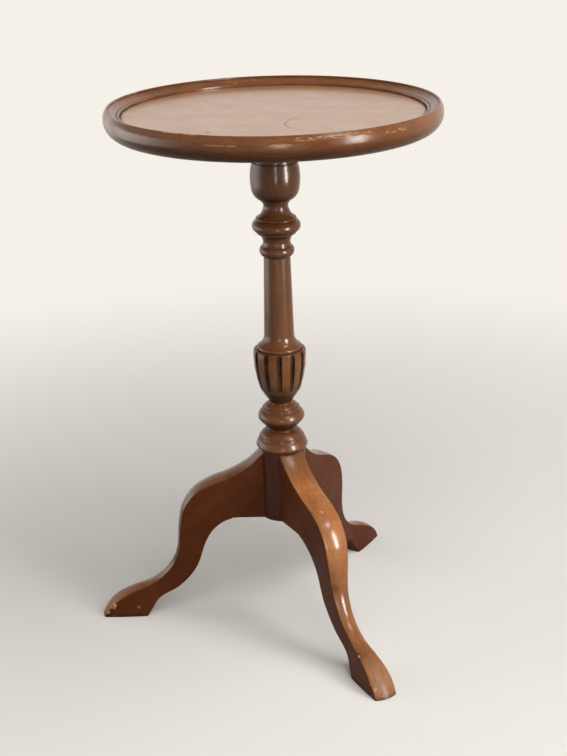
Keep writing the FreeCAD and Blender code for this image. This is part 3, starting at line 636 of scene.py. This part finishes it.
def band(tree, value, low, high, soft):
    """1 between two values, with soft ends."""
    rise = ramp(tree, value, low - soft, low + soft)
    return times(tree, rise, ramp(tree, value, high - soft, high + soft, 1.0, 0.0))


def mix(tree, share, first, second):
    return add(tree, "Mix", {0: share, 6: first, 7: second}, data_type="RGBA").outputs[2]


def stretch(tree, vector, sizes):
    return add(tree, "VectorMath", {0: vector, 1: sizes}, operation="MULTIPLY").outputs[0]


def noise(tree, vector, scale, detail=3.0, rough=0.5):
    inputs = {"Vector": vector, "Scale": scale, "Detail": detail, "Roughness": rough}
    return add(tree, "TexNoise", inputs).outputs[0]


def new_group(name, inputs, outputs):
    """An empty shader node group with named sockets, and its two end nodes."""
    tree = bpy.data.node_groups.new(name, "ShaderNodeTree")
    for label, kind, value in inputs:
        socket = tree.interface.new_socket(name=label, in_out="INPUT", socket_type="NodeSocket" + kind)
        socket.default_value = value
    for label, kind in outputs:
        tree.interface.new_socket(name=label, in_out="OUTPUT", socket_type="NodeSocket" + kind)
    return tree, tree.nodes.new("NodeGroupInput").outputs, tree.nodes.new("NodeGroupOutput").inputs


def use_group(tree, group, inputs):
    node = tree.nodes.new("ShaderNodeGroup")
    node.node_tree = group
    fill_inputs(tree, node, inputs)
    return node.outputs


print("helpers for masks and groups are ready")

# %% [markdown]
# ## Grain, wear, and grime with painted shade
#
# Three effects turn up in every wooden finish, so each is a node group. The grain is noise stretched along
# the board: broad streaks, fine fibres, a soft figure and short dark pores. Worn lacquer shows pale wood
# where a place is rubbed and a speckled noise lets it through. The third group darkens a place and thins
# out unevenly: it serves for real grime, and also for painted shade in quirks, under things and at joints.

# %% Group: the grain of mahogany
# How fine each layer is along and across the board, in waves per metre.
STREAK_RUN, FIBRE_RUN, FIGURE_RUN, PORE_RUN = (5, 48, 48), (24, 620, 620), (34, 13, 13), (95, 1500, 1500)
STREAK_SHARE, FIBRE_SHARE, FIGURE_SHARE = 0.36, 0.36, 0.28
PORE_STAIN = (0.5, 0.45, 0.4)
SMEAR_SCALE = 26.0

grain_group, given, result = new_group("mahogany_grain", [
    ("Board", "Vector", (0, 0, 0)), ("Dark", "Color", paint(0.06, 0.02, 0.01)),
    ("Light", "Color", paint(0.2, 0.08, 0.03)), ("Pores", "Float", 0.5),
], [("Color", "Color"), ("Height", "Float"), ("Dullness", "Float")])
tree = grain_group
streaks = noise(tree, stretch(tree, given["Board"], STREAK_RUN), 1.0, 4.0, 0.55)
fibres = noise(tree, stretch(tree, given["Board"], FIBRE_RUN), 1.0, 3.0)
figure = noise(tree, stretch(tree, given["Board"], FIGURE_RUN), 1.0, 2.0)
pores = ramp(tree, noise(tree, stretch(tree, given["Board"], PORE_RUN), 1.0, 1.0), 0.58, 0.70)
tone = calc(tree, "ADD", times(tree, streaks, STREAK_SHARE), times(tree, fibres, FIBRE_SHARE))
tone = calc(tree, "ADD", tone, times(tree, figure, FIGURE_SHARE))
wood = mix(tree, ramp(tree, tone, 0.30, 0.70), given["Dark"], given["Light"])
deep = stretch(tree, given["Dark"], PORE_STAIN)
tree.links.new(mix(tree, times(tree, pores, given["Pores"]), wood, deep), result["Color"])
tree.links.new(calc(tree, "SUBTRACT", times(tree, fibres, 0.5), pores), result["Height"])
smears = noise(tree, given["Board"], SMEAR_SCALE, 4.0, 0.6)
tree.links.new(ramp(tree, smears, 0.3, 0.7), result["Dullness"])
print("grain group has", len(tree.nodes), "nodes")

# %% Group: worn lacquer
wear_group, given, result = new_group("worn_lacquer", [
    ("Vector", "Vector", (0, 0, 0)), ("Place", "Float", 0.0), ("Fleck", "Float", 160.0),
], [("Mask", "Float")])
tree = wear_group
flecks = noise(tree, given["Vector"], given["Fleck"], 5.0, 0.62)
tree.links.new(ramp(tree, calc(tree, "ADD", flecks, given["Place"]), 1.02, 1.16), result["Mask"])
print("wear group has", len(tree.nodes), "nodes")


def worn_at(tree, vector, place, fleck):
    """Flecks of bare wood where the place is rubbed. A larger fleck number makes them smaller."""
    return use_group(tree, wear_group, {"Vector": vector, "Place": place, "Fleck": fleck})["Mask"]


# %% Group: grime and painted shade in a place
CLOUD_SCALE = 55.0

grime_and_shade_group, given, result = new_group("grime_and_painted_shade", [
    ("Vector", "Vector", (0, 0, 0)), ("Place", "Float", 0.0), ("Amount", "Float", 0.8),
], [("Mask", "Float")])
tree = grime_and_shade_group
uneven = ramp(tree, noise(tree, given["Vector"], CLOUD_SCALE, 3.0, 0.6), 0.25, 0.6, 0.55, 1.0)
tree.links.new(times(tree, given["Place"], uneven, given["Amount"]), result["Mask"])
print("grime group has", len(tree.nodes), "nodes")


def grime_and_shade_at(tree, vector, place, amount=0.9):
    """Darken a place: real dirt, and painted shade in quirks, on faces that point down and at joints."""
    return use_group(tree, grime_and_shade_group, {"Vector": vector, "Place": place, "Amount": amount})["Mask"]


# %% [markdown]
# ## A lacquered wood
#
# All the wooden pieces share one recipe: the grain, darkened by grime and by painted shade, pale where the
# lacquer is worn through, under a clear satin coat. Only the colours, the run of the board and the places
# change.

# %% Recipe for lacquered wood
BARE_WOOD = paint(0.52, 0.31, 0.15)
# The dark colour of grime, and of the shade that is painted into quirks, undersides and joints.
GRIME_AND_SHADE = paint(0.016, 0.006, 0.0025)
PORE_DEPTH = 0.55
BARE_ROUGHNESS = 0.55
COAT_ROUGHNESS = 0.19


def new_finish(name):
    material = bpy.data.materials.new(name)
    material.use_nodes = True
    material.node_tree.nodes.clear()
    return material, material.node_tree


def lacquered(tree, board, dark, light, grime_and_shade, worn, gloss, shine, coat=None):
    """Grain under satin lacquer, with a mask for dirt and painted shade, and one for bare wood."""
    grain = use_group(tree, grain_group, {"Board": board, "Dark": dark, "Light": light, "Pores": PORE_DEPTH})
    colour = mix(tree, grime_and_shade, grain["Color"], GRIME_AND_SHADE)
    colour = mix(tree, worn, colour, BARE_WOOD)
    bare = most(tree, worn, grime_and_shade)
    rough = ramp(tree, grain["Dullness"], 0.0, 1.0, *gloss)
    rough = most(tree, rough, times(tree, bare, BARE_ROUGHNESS))
    bump = add(tree, "Bump", {"Strength": 0.10, "Distance": 0.0004, "Height": grain["Height"]})
    surface = add(tree, "BsdfPrincipled", {
        "Base Color": colour, "Roughness": rough, "Normal": bump.outputs[0], "Specular IOR Level": shine,
    })
    if coat is not None:
        surface.inputs["Coat Roughness"].default_value = COAT_ROUGHNESS
        tree.links.new(ramp(tree, bare, 0.1, 0.7, coat, 0.0), surface.inputs["Coat Weight"])
    add(tree, "OutputMaterial", {"Surface": surface.outputs[0]})


print("lacquer recipe is ready")

# %% Places on a piece
def attribute(tree, name, output="Fac"):
    return add(tree, "Attribute", attribute_name=name, attribute_type="GEOMETRY").outputs[output]


def object_place(tree):
    return add(tree, "TexCoord").outputs["Object"]


def parts_of(tree, vector):
    return add(tree, "SeparateXYZ", {0: vector}).outputs


def upright_board(tree, vector, shift=0.0):
    """A board whose grain stands upright: X of the board is Z of the object."""
    x, y, z = parts_of(tree, vector)
    return add(tree, "CombineXYZ", {0: z, 1: x, 2: calc(tree, "ADD", y, shift)}).outputs[0]


def from_spot(tree, x, y, east, north):
    """How far a place lies east and north of a spot that is given in millimetres."""
    return calc(tree, "SUBTRACT", x, east * MM), calc(tree, "SUBTRACT", y, north * MM)


print("helpers for places are ready")

# %% [markdown]
# ## The field
#
# The field is the palest wood, bleached by daylight. A dark line is painted where it meets the rim, as the
# shadow of the rim's inner wall, and a curved scratch and a small dark spot mark it. The scratch is part of a
# circle, so its mask is the distance from that circle, faded out at both ends.

# %% Field finish
FIELD_DARK, FIELD_LIGHT = paint(0.30, 0.130, 0.048), paint(0.40, 0.184, 0.074)
SCRATCH_PATH = [(33, -31.5), (12.5, -67.5), (26, -98)]
SCRATCH_HALF_WIDTH = 0.55
SCRATCH_SOUTH, SCRATCH_NORTH = -0.095, -0.036
DARK_SPOT = (-60.5, -104)

field_finish, tree = new_finish("field_mahogany")
place = object_place(tree)
x, y, _ = parts_of(tree, place)
# Painted shadow: a dark ring on the field at the foot of the rim's inner wall.
edge = ramp(tree, span(tree, x, y), 0.1505, 0.1552)
centre_x, centre_y, scratch_radius = circle_through(*SCRATCH_PATH)
reach = span(tree, *from_spot(tree, x, y, centre_x, centre_y))
inner, outer = (scratch_radius - SCRATCH_HALF_WIDTH) * MM, (scratch_radius + SCRATCH_HALF_WIDTH) * MM
west_side = calc(tree, "LESS_THAN", x, centre_x * MM)
length = band(tree, y, SCRATCH_SOUTH, SCRATCH_NORTH, 0.006)
scratch = times(tree, band(tree, reach, inner, outer, 0.0004), length, west_side)
spot = ramp(tree, square_span(tree, *from_spot(tree, x, y, *DARK_SPOT)), 0.000002, 0.000012, 1.0, 0.0)
grime_and_shade = most(tree, grime_and_shade_at(tree, place, edge), times(tree, spot, 0.6), times(tree, scratch, 0.75))
worn = worn_at(tree, place, 0.24, 320.0)
lacquered(tree, place, FIELD_DARK, FIELD_LIGHT, grime_and_shade, worn, gloss=(0.17, 0.24), shine=0.26, coat=0.42)
print(field_finish.name, "has", len(tree.nodes), "nodes")

# %% [markdown]
# ## The rim
#
# The rim takes the knocks. Its crest is chipped at the front left, and the bullnose is rubbed through in
# streaks along the front. Each streak is a sector of the circle times a band of heights, and the wear group
# breaks it up into flecks. The lacquer is polished towards the crest, and dulled at the right front.

# %% Rubbed streaks on the rim
# Each rub: first and last azimuth in degrees, lowest and highest place in metres, and how far it is worn.
RIM_RUBS = [
    (-127, -113, 0.5880, 0.5900, 0.62), (-111, -100, 0.5798, 0.5816, 0.68), (-91, -83, 0.5802, 0.5822, 0.68),
    (-84, -56, 0.5835, 0.5876, 0.56), (-99.5, -97.5, 0.5780, 0.5792, 0.62), (-53, -42, 0.5816, 0.5855, 0.55),
    (96, 110, 0.5830, 0.5865, 0.50), (150, 158, 0.5875, 0.5900, 0.56), (20, 29, 0.5800, 0.5830, 0.52),
]
RUB_SHARE = 0.62
METRES_PER_DEGREE = 0.0029
FLECK_SQUASH = 4.0

rim_finish, tree = new_finish("rim_mahogany")
place = object_place(tree)
x, y, z = parts_of(tree, place)
azimuth = times(tree, calc(tree, "ARCTAN2", y, x), 180 / math.pi)
rubbed = times(tree, attribute(tree, "arris"), 0.40)
for first, last, low, high, amount in RIM_RUBS:
    sector, level = band(tree, azimuth, first, last, 1.5), band(tree, z, low, high, 0.0008)
    rubbed = most(tree, rubbed, times(tree, sector, level, amount))
along_rim, up_rim = times(tree, azimuth, METRES_PER_DEGREE), times(tree, z, FLECK_SQUASH)
unrolled = add(tree, "CombineXYZ", {0: along_rim, 1: up_rim}).outputs[0]
worn = times(tree, worn_at(tree, unrolled, rubbed, 150.0), RUB_SHARE)
print(len(RIM_RUBS), "rubbed streaks on the rim")

# %% Rim finish
RIM_DARK, RIM_LIGHT = paint(0.13, 0.040, 0.011), paint(0.22, 0.078, 0.024)
DULL_FROM, DULL_TO = -76, -46

# Painted shade: the rim's quirks darken partly as stain and partly as shade, and its faces that point down as
# shade.
shade_and_grime_place = most(tree, attribute(tree, "quirk"), times(tree, attribute(tree, "underside_shade"), 0.75))
grime_and_shade = grime_and_shade_at(tree, place, shade_and_grime_place)
dulled = times(tree, band(tree, azimuth, DULL_FROM, DULL_TO, 9.0), ramp(tree, z, 0.5835, 0.5875, 1.0, 0.0))
polish = times(tree, ramp(tree, z, 0.571, 0.583, 0.0, 0.4), ramp(tree, dulled, 0.0, 1.0, 1.0, 0.25))
lacquered(tree, place, RIM_DARK, RIM_LIGHT, grime_and_shade, worn, gloss=(0.17, 0.27), shine=0.12, coat=polish)
print(rim_finish.name, "has", len(tree.nodes), "nodes")

# %% [markdown]
# ## The pillar
#
# The grain stands upright in the pillar. Its quirks and the bottoms of the flutes are darkened partly as
# grime and partly as painted shade, its undersides as painted shade, and hands have rubbed the ribs between
# the flutes golden. The drum is painted dark as the shade under the cap and between the legs. The flutes
# repeat twelve times round, so a cosine of twelve times the azimuth finds their bottoms.

# %% Grime, painted shade and wear on the pillar
FLUTE_FOOT, FLUTE_TOP = 0.2810, 0.3240
RIB_FOOT, RIB_TOP = 0.286, 0.318
DRUM_TOP = 0.2085, 0.2105

pillar_finish, tree = new_finish("pillar_mahogany")
place = object_place(tree)
x, y, z = parts_of(tree, place)
around = calc(tree, "COSINE", times(tree, calc(tree, "ARCTAN2", y, x), float(FLUTES)))
# The flute bottoms are dark partly with dirt and partly with painted shade.
fluted = times(tree, ramp(tree, around, 0.15, 0.50), band(tree, z, FLUTE_FOOT, FLUTE_TOP, 0.0010))
ribs = band(tree, z, RIB_FOOT, RIB_TOP, 0.006)
drum = ramp(tree, z, *DRUM_TOP, 1.0, 0.0)
# Painted shade in part: the quirks darken partly as stain and partly as shade, and faces that point down as
# shade.
quirk_stain_and_shade, painted_under_shade = times(tree, attribute(tree, "quirk"), 0.35), times(tree, attribute(tree, "underside_shade"), 0.75)
grime_and_shade = grime_and_shade_at(tree, place, most(tree, quirk_stain_and_shade, fluted, painted_under_shade))
worn = worn_at(tree, place, times(tree, attribute(tree, "arris"), 0.42), 150.0)
print("the grime lies in", FLUTES, "flutes")

# %% Pillar finish
# Each pair is a dark and a light tone of the grain.
PILLAR_TONES = paint(0.115, 0.037, 0.011), paint(0.21, 0.080, 0.026)
RIB_TONES = paint(0.16, 0.054, 0.013), paint(0.29, 0.112, 0.031)
# The drum's tones are painted shade: darker than the rest of the pillar because the cap and the legs shade it.
DRUM_SHADE_TONES = paint(0.055, 0.014, 0.0045), paint(0.095, 0.028, 0.010)

dark, light = (
    mix(tree, drum, mix(tree, ribs, plain, golden), drum_shade)
    for plain, golden, drum_shade in zip(PILLAR_TONES, RIB_TONES, DRUM_SHADE_TONES)
)
polish = ramp(tree, drum, 0.0, 1.0, 0.25, 0.03)
board = upright_board(tree, place)
lacquered(tree, board, dark, light, grime_and_shade, worn, gloss=(0.18, 0.28), shine=0.13, coat=polish)
print(pillar_finish.name, "has", len(tree.nodes), "nodes")

# %% [markdown]
# ## The legs
#
# Each leg was sawn from its own plank, so the grain follows the plank and not the floor: the board attribute
# carries it. Shoes and brooms rub the arrises, scuff the toes and leave them pale and dull. The crown of the
# front leg is painted paler as the light that falls on it, and the flanks are painted darker as shade. The
# front crown also has a few dark and pale bruises, each a soft ball around a spot. Where the legs meet the
# drum they are darkened as painted shade, and the lowest few millimetres are darker towards the floor.

# %% Scuffs and bruises on the legs
# Each spot: its place in millimetres, its reach, and how worn or how dark it is.
SCUFFS = [
    (42, -80, 165, 4, 0.60), (78, -154, 32, 3, 0.56), (89, -180, 15, 6, 0.50), (95, -184, 10, 5, 0.50),
    (-179, -11.4, 22, 4, 0.50), (-170, -11.4, 12, 5, 0.50), (-163, -11.4, 6, 4, 0.50), (-200, -12, 15, 9, 0.57),
    (-208, -12, 8, 9, 0.58),
]
BRUISES = [
    (32, -70, 171.5, 9, 0.16), (36, -75, 169, 5, 0.18), (54.5, -110, 89, 7, 0.45), (77, -152, 33, 5, 0.5),
    (-126, -9, 75, 7, 0.4), (-60, -13, 178, 6, 0.3), (48, 92, 152, 7, 0.35),
]
SPOT_CORE = 0.3


def add_spots(tree, place, mask, spots):
    """Raise a mask around each spot, in full in its core and fading to its reach."""
    for east, north, high, reach, amount in spots:
        middle = tuple(value * MM for value in (east, north, high))
        away = add(tree, "VectorMath", {0: place, 1: middle}, operation="DISTANCE").outputs["Value"]
        mask = most(tree, mask, ramp(tree, away, SPOT_CORE * reach * MM, reach * MM, amount, 0.0))
    return mask


leg_finish, tree = new_finish("leg_mahogany")
place = object_place(tree)
x, y, z = parts_of(tree, place)
radius = span(tree, x, y)
toe = times(tree, ramp(tree, radius, 0.165, 0.205), ramp(tree, z, 0.004, 0.034, 1.0, 0.25))
rubbed = most(tree, times(tree, attribute(tree, "arris"), 0.40), times(tree, toe, 0.45))
worn = worn_at(tree, place, add_spots(tree, place, rubbed, SCUFFS), 210.0)
# Painted shade where the legs meet the drum, and a darkening of the lowest 6 mm towards the floor.
shade_and_grime_place = most(tree, ramp(tree, radius, 0.0215, 0.0245, 1.0, 0.0), ramp(tree, z, 0.0, 0.006, 0.8, 0.0))
grime_and_shade = grime_and_shade_at(tree, place, add_spots(tree, place, shade_and_grime_place, BRUISES))
print(len(SCUFFS), "scuffs and", len(BRUISES), "bruises on the legs")

# %% Leg finish
CROWN_TONES = paint(0.15, 0.052, 0.018), paint(0.235, 0.092, 0.034)
# The front crown's paler tones are painted light.
FRONT_LIT_TONES = paint(0.25, 0.085, 0.025), paint(0.52, 0.205, 0.069)
TOE_TONES = paint(0.26, 0.125, 0.062), paint(0.40, 0.200, 0.105)
# The flanks' tones are painted shade: darker than the crown because less light falls on them.
FLANK_SHADE_TONES = paint(0.074, 0.016, 0.0031), paint(0.118, 0.030, 0.0063)
TOE_START, TOE_FULL = 0.160, 0.192

crown = attribute(tree, "crown")
# Painted light: the crown of the front leg is painted paler where the light falls on it.
front_crown_light = times(tree, ramp(tree, y, -0.055, -0.020, 1.0, 0.0), ramp(tree, z, 0.07, 0.15, 0.3, 1.0))
dusty = ramp(tree, radius, 0.166, 0.200, 0.0, 0.55)
dark, light = (
    mix(tree, crown, shaded_flank, mix(tree, dusty, mix(tree, front_crown_light, plain, pale), dust))
    for plain, pale, dust, shaded_flank in zip(CROWN_TONES, FRONT_LIT_TONES, TOE_TONES, FLANK_SHADE_TONES)
)
polish = times(tree, ramp(tree, crown, 0.0, 1.0, 0.02, 0.34), ramp(tree, radius, TOE_START, TOE_FULL, 1.0, 0.15))
shiny = times(tree, crown, ramp(tree, radius, TOE_START, TOE_FULL, 1.0, 0.2))
gloss = ramp(tree, shiny, 0.0, 1.0, 0.36, 0.18), ramp(tree, shiny, 0.0, 1.0, 0.48, 0.30)
lacquered(tree, attribute(tree, "board", "Vector"), dark, light, grime_and_shade, worn, gloss, shine=0.10, coat=polish)
print(leg_finish.name, "has", len(tree.nodes), "nodes")

# %% [markdown]
# ## Hidden wood and metal
#
# The block and the wedge were never polished: plain oiled wood, dull all over. The strap is black forged
# iron with a little rust, and the screws are dulled steel with dirty slots.

# %% Oiled wood
OILED_GLOSS, OILED_SHINE = (0.5, 0.65), 0.24
BLOCK_TONES = paint(0.06, 0.026, 0.011), paint(0.17, 0.08, 0.035)
WEDGE_TONES = paint(0.16, 0.085, 0.04), paint(0.33, 0.20, 0.10)
WEDGE_SHIFT = 0.3

block_finish, tree = new_finish("oiled_block_wood")
place = object_place(tree)
dust, worn = grime_and_shade_at(tree, place, 0.5, 0.5), worn_at(tree, place, 0.40, 120.0)
lacquered(tree, place, *BLOCK_TONES, dust, worn, OILED_GLOSS, OILED_SHINE)

wedge_finish, tree = new_finish("oiled_wedge_wood")
place = object_place(tree)
dust, worn = grime_and_shade_at(tree, place, 0.3, 0.5), worn_at(tree, place, 0.45, 260.0)
lacquered(tree, upright_board(tree, place, WEDGE_SHIFT), *WEDGE_TONES, dust, worn, OILED_GLOSS, OILED_SHINE)
print("oiled wood:", block_finish.name, wedge_finish.name)

# %% Iron and steel
def metal(name, dark, light, stain, rough, scale):
    """Metal with a cloudy colour, stained patches and a hammered or scratched skin."""
    material, tree = new_finish(name)
    place = object_place(tree)
    clouds = noise(tree, place, scale, 5.0, 0.6)
    patches = worn_at(tree, place, 0.46, scale * 0.6)
    colour = mix(tree, ramp(tree, clouds, 0.35, 0.65), dark, light)
    colour = mix(tree, patches, colour, stain)
    bump = add(tree, "Bump", {"Strength": 0.25, "Distance": 0.0004, "Height": clouds})
    surface = add(tree, "BsdfPrincipled", {
        "Base Color": colour, "Roughness": ramp(tree, clouds, 0.3, 0.7, *rough),
        "Metallic": ramp(tree, patches, 0.0, 1.0, 1.0, 0.2), "Normal": bump.outputs[0],
    })
    add(tree, "OutputMaterial", {"Surface": surface.outputs[0]})
    return material


iron_finish = metal(
    "forged_iron", dark=paint(0.035, 0.033, 0.032), light=paint(0.10, 0.095, 0.09),
    stain=paint(0.12, 0.045, 0.018), rough=(0.45, 0.7), scale=150.0,
)
steel_finish = metal(
    "screw_steel", dark=paint(0.24, 0.23, 0.22), light=paint(0.46, 0.44, 0.41),
    stain=paint(0.07, 0.04, 0.025), rough=(0.28, 0.5), scale=420.0,
)
print("metals:", iron_finish.name, steel_finish.name)

# %% [markdown]
# ## Put the pieces on the frame
#
# Every piece rides on the table's one body and stands for its CAD node. The iron strap, the screws and the
# wedge keep their CAD shapes and only get a better material.

# %% Finish, ride and replace
PIECES = [
    (top_field, field_finish, "top_field", "field_wood"), (top_rim, rim_finish, "top_rim", "rim_wood"),
    (pillar_shaft, pillar_finish, "pillar_shaft", "pillar_wood"),
    (pillar_base, pillar_finish, "pillar_base", "pillar_wood"),
    (pillar_block, block_finish, "pillar_block", "pillar_wood"),
] + [(leg, leg_finish, node, "leg_wood") for node, leg in legs.items()]
for piece, finish, node, slot in PIECES:
    piece.data.materials.clear()
    piece.data.materials.append(finish)
    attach(piece, "root")
    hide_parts(node)

KEPT_NODES = {
    "leg_strap": iron_finish, "strap_drum_screws": steel_finish, "strap_leg_screws": steel_finish,
    "block_screws": steel_finish, "tenon_wedge": wedge_finish,
}
for node, finish in KEPT_NODES.items():
    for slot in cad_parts[node].material_slots:
        slot.material = finish
print(len(PIECES), "pieces replace CAD nodes;", len(KEPT_NODES), "CAD nodes get a new finish")

# %% [markdown]
# ## Studio
#
# A plain pale floor and large soft lights overhead and at both sides set how bright the wood is. Polished
# wood also mirrors the room, so strips stand in for windows and cards for a white wall, laid one over the
# other so that their light fades outwards. They show in the gloss and light nothing. Light Path lets the
# camera and the gloss see a pale room.

# %% Floor
FLOOR_SIZE, FLOOR_DROP = 24, 0.0003
FLOOR_BOUNCE, FLOOR_SEEN = paint(0.16, 0.15, 0.14), paint(0.765, 0.735, 0.692)
FLOOR_FAR = paint(0.92, 0.875, 0.81)


def seen_directly(tree):
    """1 for camera, glossy and transmission rays, 0 for the light that surfaces throw on each other."""
    path = add(tree, "LightPath").outputs
    return most(tree, path["Is Camera Ray"], path["Is Glossy Ray"], path["Is Transmission Ray"])


deselect_all()
bpy.ops.mesh.primitive_plane_add(size=FLOOR_SIZE, location=(0, 0, -FLOOR_DROP))
floor = bpy.context.object
floor.name = "studio_floor"
floor_finish, tree = new_finish("pale_floor")
seen = seen_directly(tree)
x, y, _ = parts_of(tree, object_place(tree))
near = add(tree, "BsdfDiffuse", {"Color": mix(tree, seen, FLOOR_BOUNCE, FLOOR_SEEN)})
far = add(tree, "Emission", {"Color": FLOOR_FAR, "Strength": 1.0})
share = times(tree, seen, ramp(tree, span(tree, x, y), 0.35, 1.35))
surface = add(tree, "MixShader", {0: share, 1: near.outputs[0], 2: far.outputs[0]})
add(tree, "OutputMaterial", {"Surface": surface.outputs[0]})
floor.data.materials.append(floor_finish)
print("the floor fades into the room")

# %% World
WALLS, CEILING = paint(0.94, 0.895, 0.835), paint(0.22, 0.21, 0.20)
FILL, FILL_STRENGTH = paint(1.0, 0.97, 0.93), 0.14

world = bpy.data.worlds.new("soft_room")
bpy.context.scene.world = world
world.use_nodes = True
tree = world.node_tree
tree.nodes.clear()
upwards = parts_of(tree, add(tree, "TexCoord").outputs["Generated"])[2]
walls = mix(tree, ramp(tree, upwards, 0.35, 0.75), WALLS, CEILING)
room = add(tree, "Background", {"Color": walls, "Strength": 1.0})
fill = add(tree, "Background", {"Color": FILL, "Strength": FILL_STRENGTH})
share = add(tree, "MixShader", {0: seen_directly(tree), 1: fill.outputs[0], 2: room.outputs[0]})
add(tree, "OutputWorld", {"Surface": share.outputs[0]})
print("the room is pale, and fills the shade at", FILL_STRENGTH)

# %% Lamps
CARD_WIDTHS = (0.3, 0.6, 0.9, 1.2, 1.5)
CARD_GAP = 0.01
CARD_WATTS = 1.5


def soft_lamp(name, place, target, width, height, watts):
    lamp = bpy.data.lights.new(name, "AREA")
    lamp.shape = "RECTANGLE"
    lamp.size, lamp.size_y, lamp.energy = width, height, watts
    piece = bpy.data.objects.new(name, lamp)
    piece.location = place
    piece.rotation_euler = (Vector(target) - Vector(place)).to_track_quat("-Z", "Y").to_euler()
    bpy.context.collection.objects.link(piece)
    return piece


soft_lights = [
    soft_lamp("overhead_light", (1.0, -1.1, 2.5), (0, 0, 0.3), 2.8, 2.8, 88),
    soft_lamp("right_light", (2.1, -1.6, 0.85), (0, 0, 0.35), 0.9, 1.1, 33),
    soft_lamp("left_light", (-2.3, 0.2, 0.9), (0, 0, 0.4), 0.8, 1.6, 12),
]
for lamp in soft_lights:
    lamp.visible_glossy = False
mirrored = [
    soft_lamp("window_strip", (1.30, -0.96, 0.63), (0, 0, 0.6), 0.30, 0.96, 47),
    soft_lamp("high_window", (0.95, -0.80, 1.75), (0.1, -0.1, 0.6), 0.5, 0.4, 12),
    soft_lamp("front_strip", (0.135, -1.6, 0.40), (0, 0, 0.4), 0.16, 0.5, 4),
    soft_lamp("back_card", (-1.15, 0.85, 0.42), (0, 0.4, 0.42), 0.85, 0.8, 1.5),
]
for number, width in enumerate(CARD_WIDTHS):
    place, target = (-1.15 - CARD_GAP * number, 0.05, 0.33), (0, 0.05, 0.33)
    mirrored.append(soft_lamp(f"left_card_{number}", place, target, width, 0.64, CARD_WATTS * width))
for lamp in mirrored:
    lamp.visible_diffuse = False
print("lamps:", [lamp.name for lamp in soft_lights + mirrored])

# %% [markdown]
# ## Camera
#
# The camera stands where the photograph was taken from. Its lens and its turns were fitted to the picture,
# and the turns give three axes, which make its matrix.

# %% Camera
CAMERA_PLACE = Vector((0.0275, -1.4035, 0.8398))
YAW, PITCH, ROLL = math.radians(-0.98), math.radians(21.42), math.radians(-1.47)
LENS, SENSOR_WIDTH = 65.75, 36

forward = Vector((math.sin(YAW) * math.cos(PITCH), math.cos(YAW) * math.cos(PITCH), -math.sin(PITCH)))
level = Vector((math.cos(YAW), -math.sin(YAW), 0))
upward = level.cross(forward)
right = level * math.cos(ROLL) + upward * math.sin(ROLL)
above = upward * math.cos(ROLL) - level * math.sin(ROLL)
camera = bpy.data.objects.new("photo_camera", bpy.data.cameras.new("photo_camera"))
turned = Matrix((right, above, -forward)).transposed().to_4x4()
camera.matrix_world = Matrix.Translation(CAMERA_PLACE) @ turned
camera.data.lens, camera.data.sensor_width = LENS, SENSOR_WIDTH
bpy.context.collection.objects.link(camera)
bpy.context.scene.camera = camera
bpy.context.scene.view_settings.view_transform = "Standard"
print("camera looks down", round(math.degrees(PITCH), 1), "degrees")

# %% Done
print("the scene is set up")
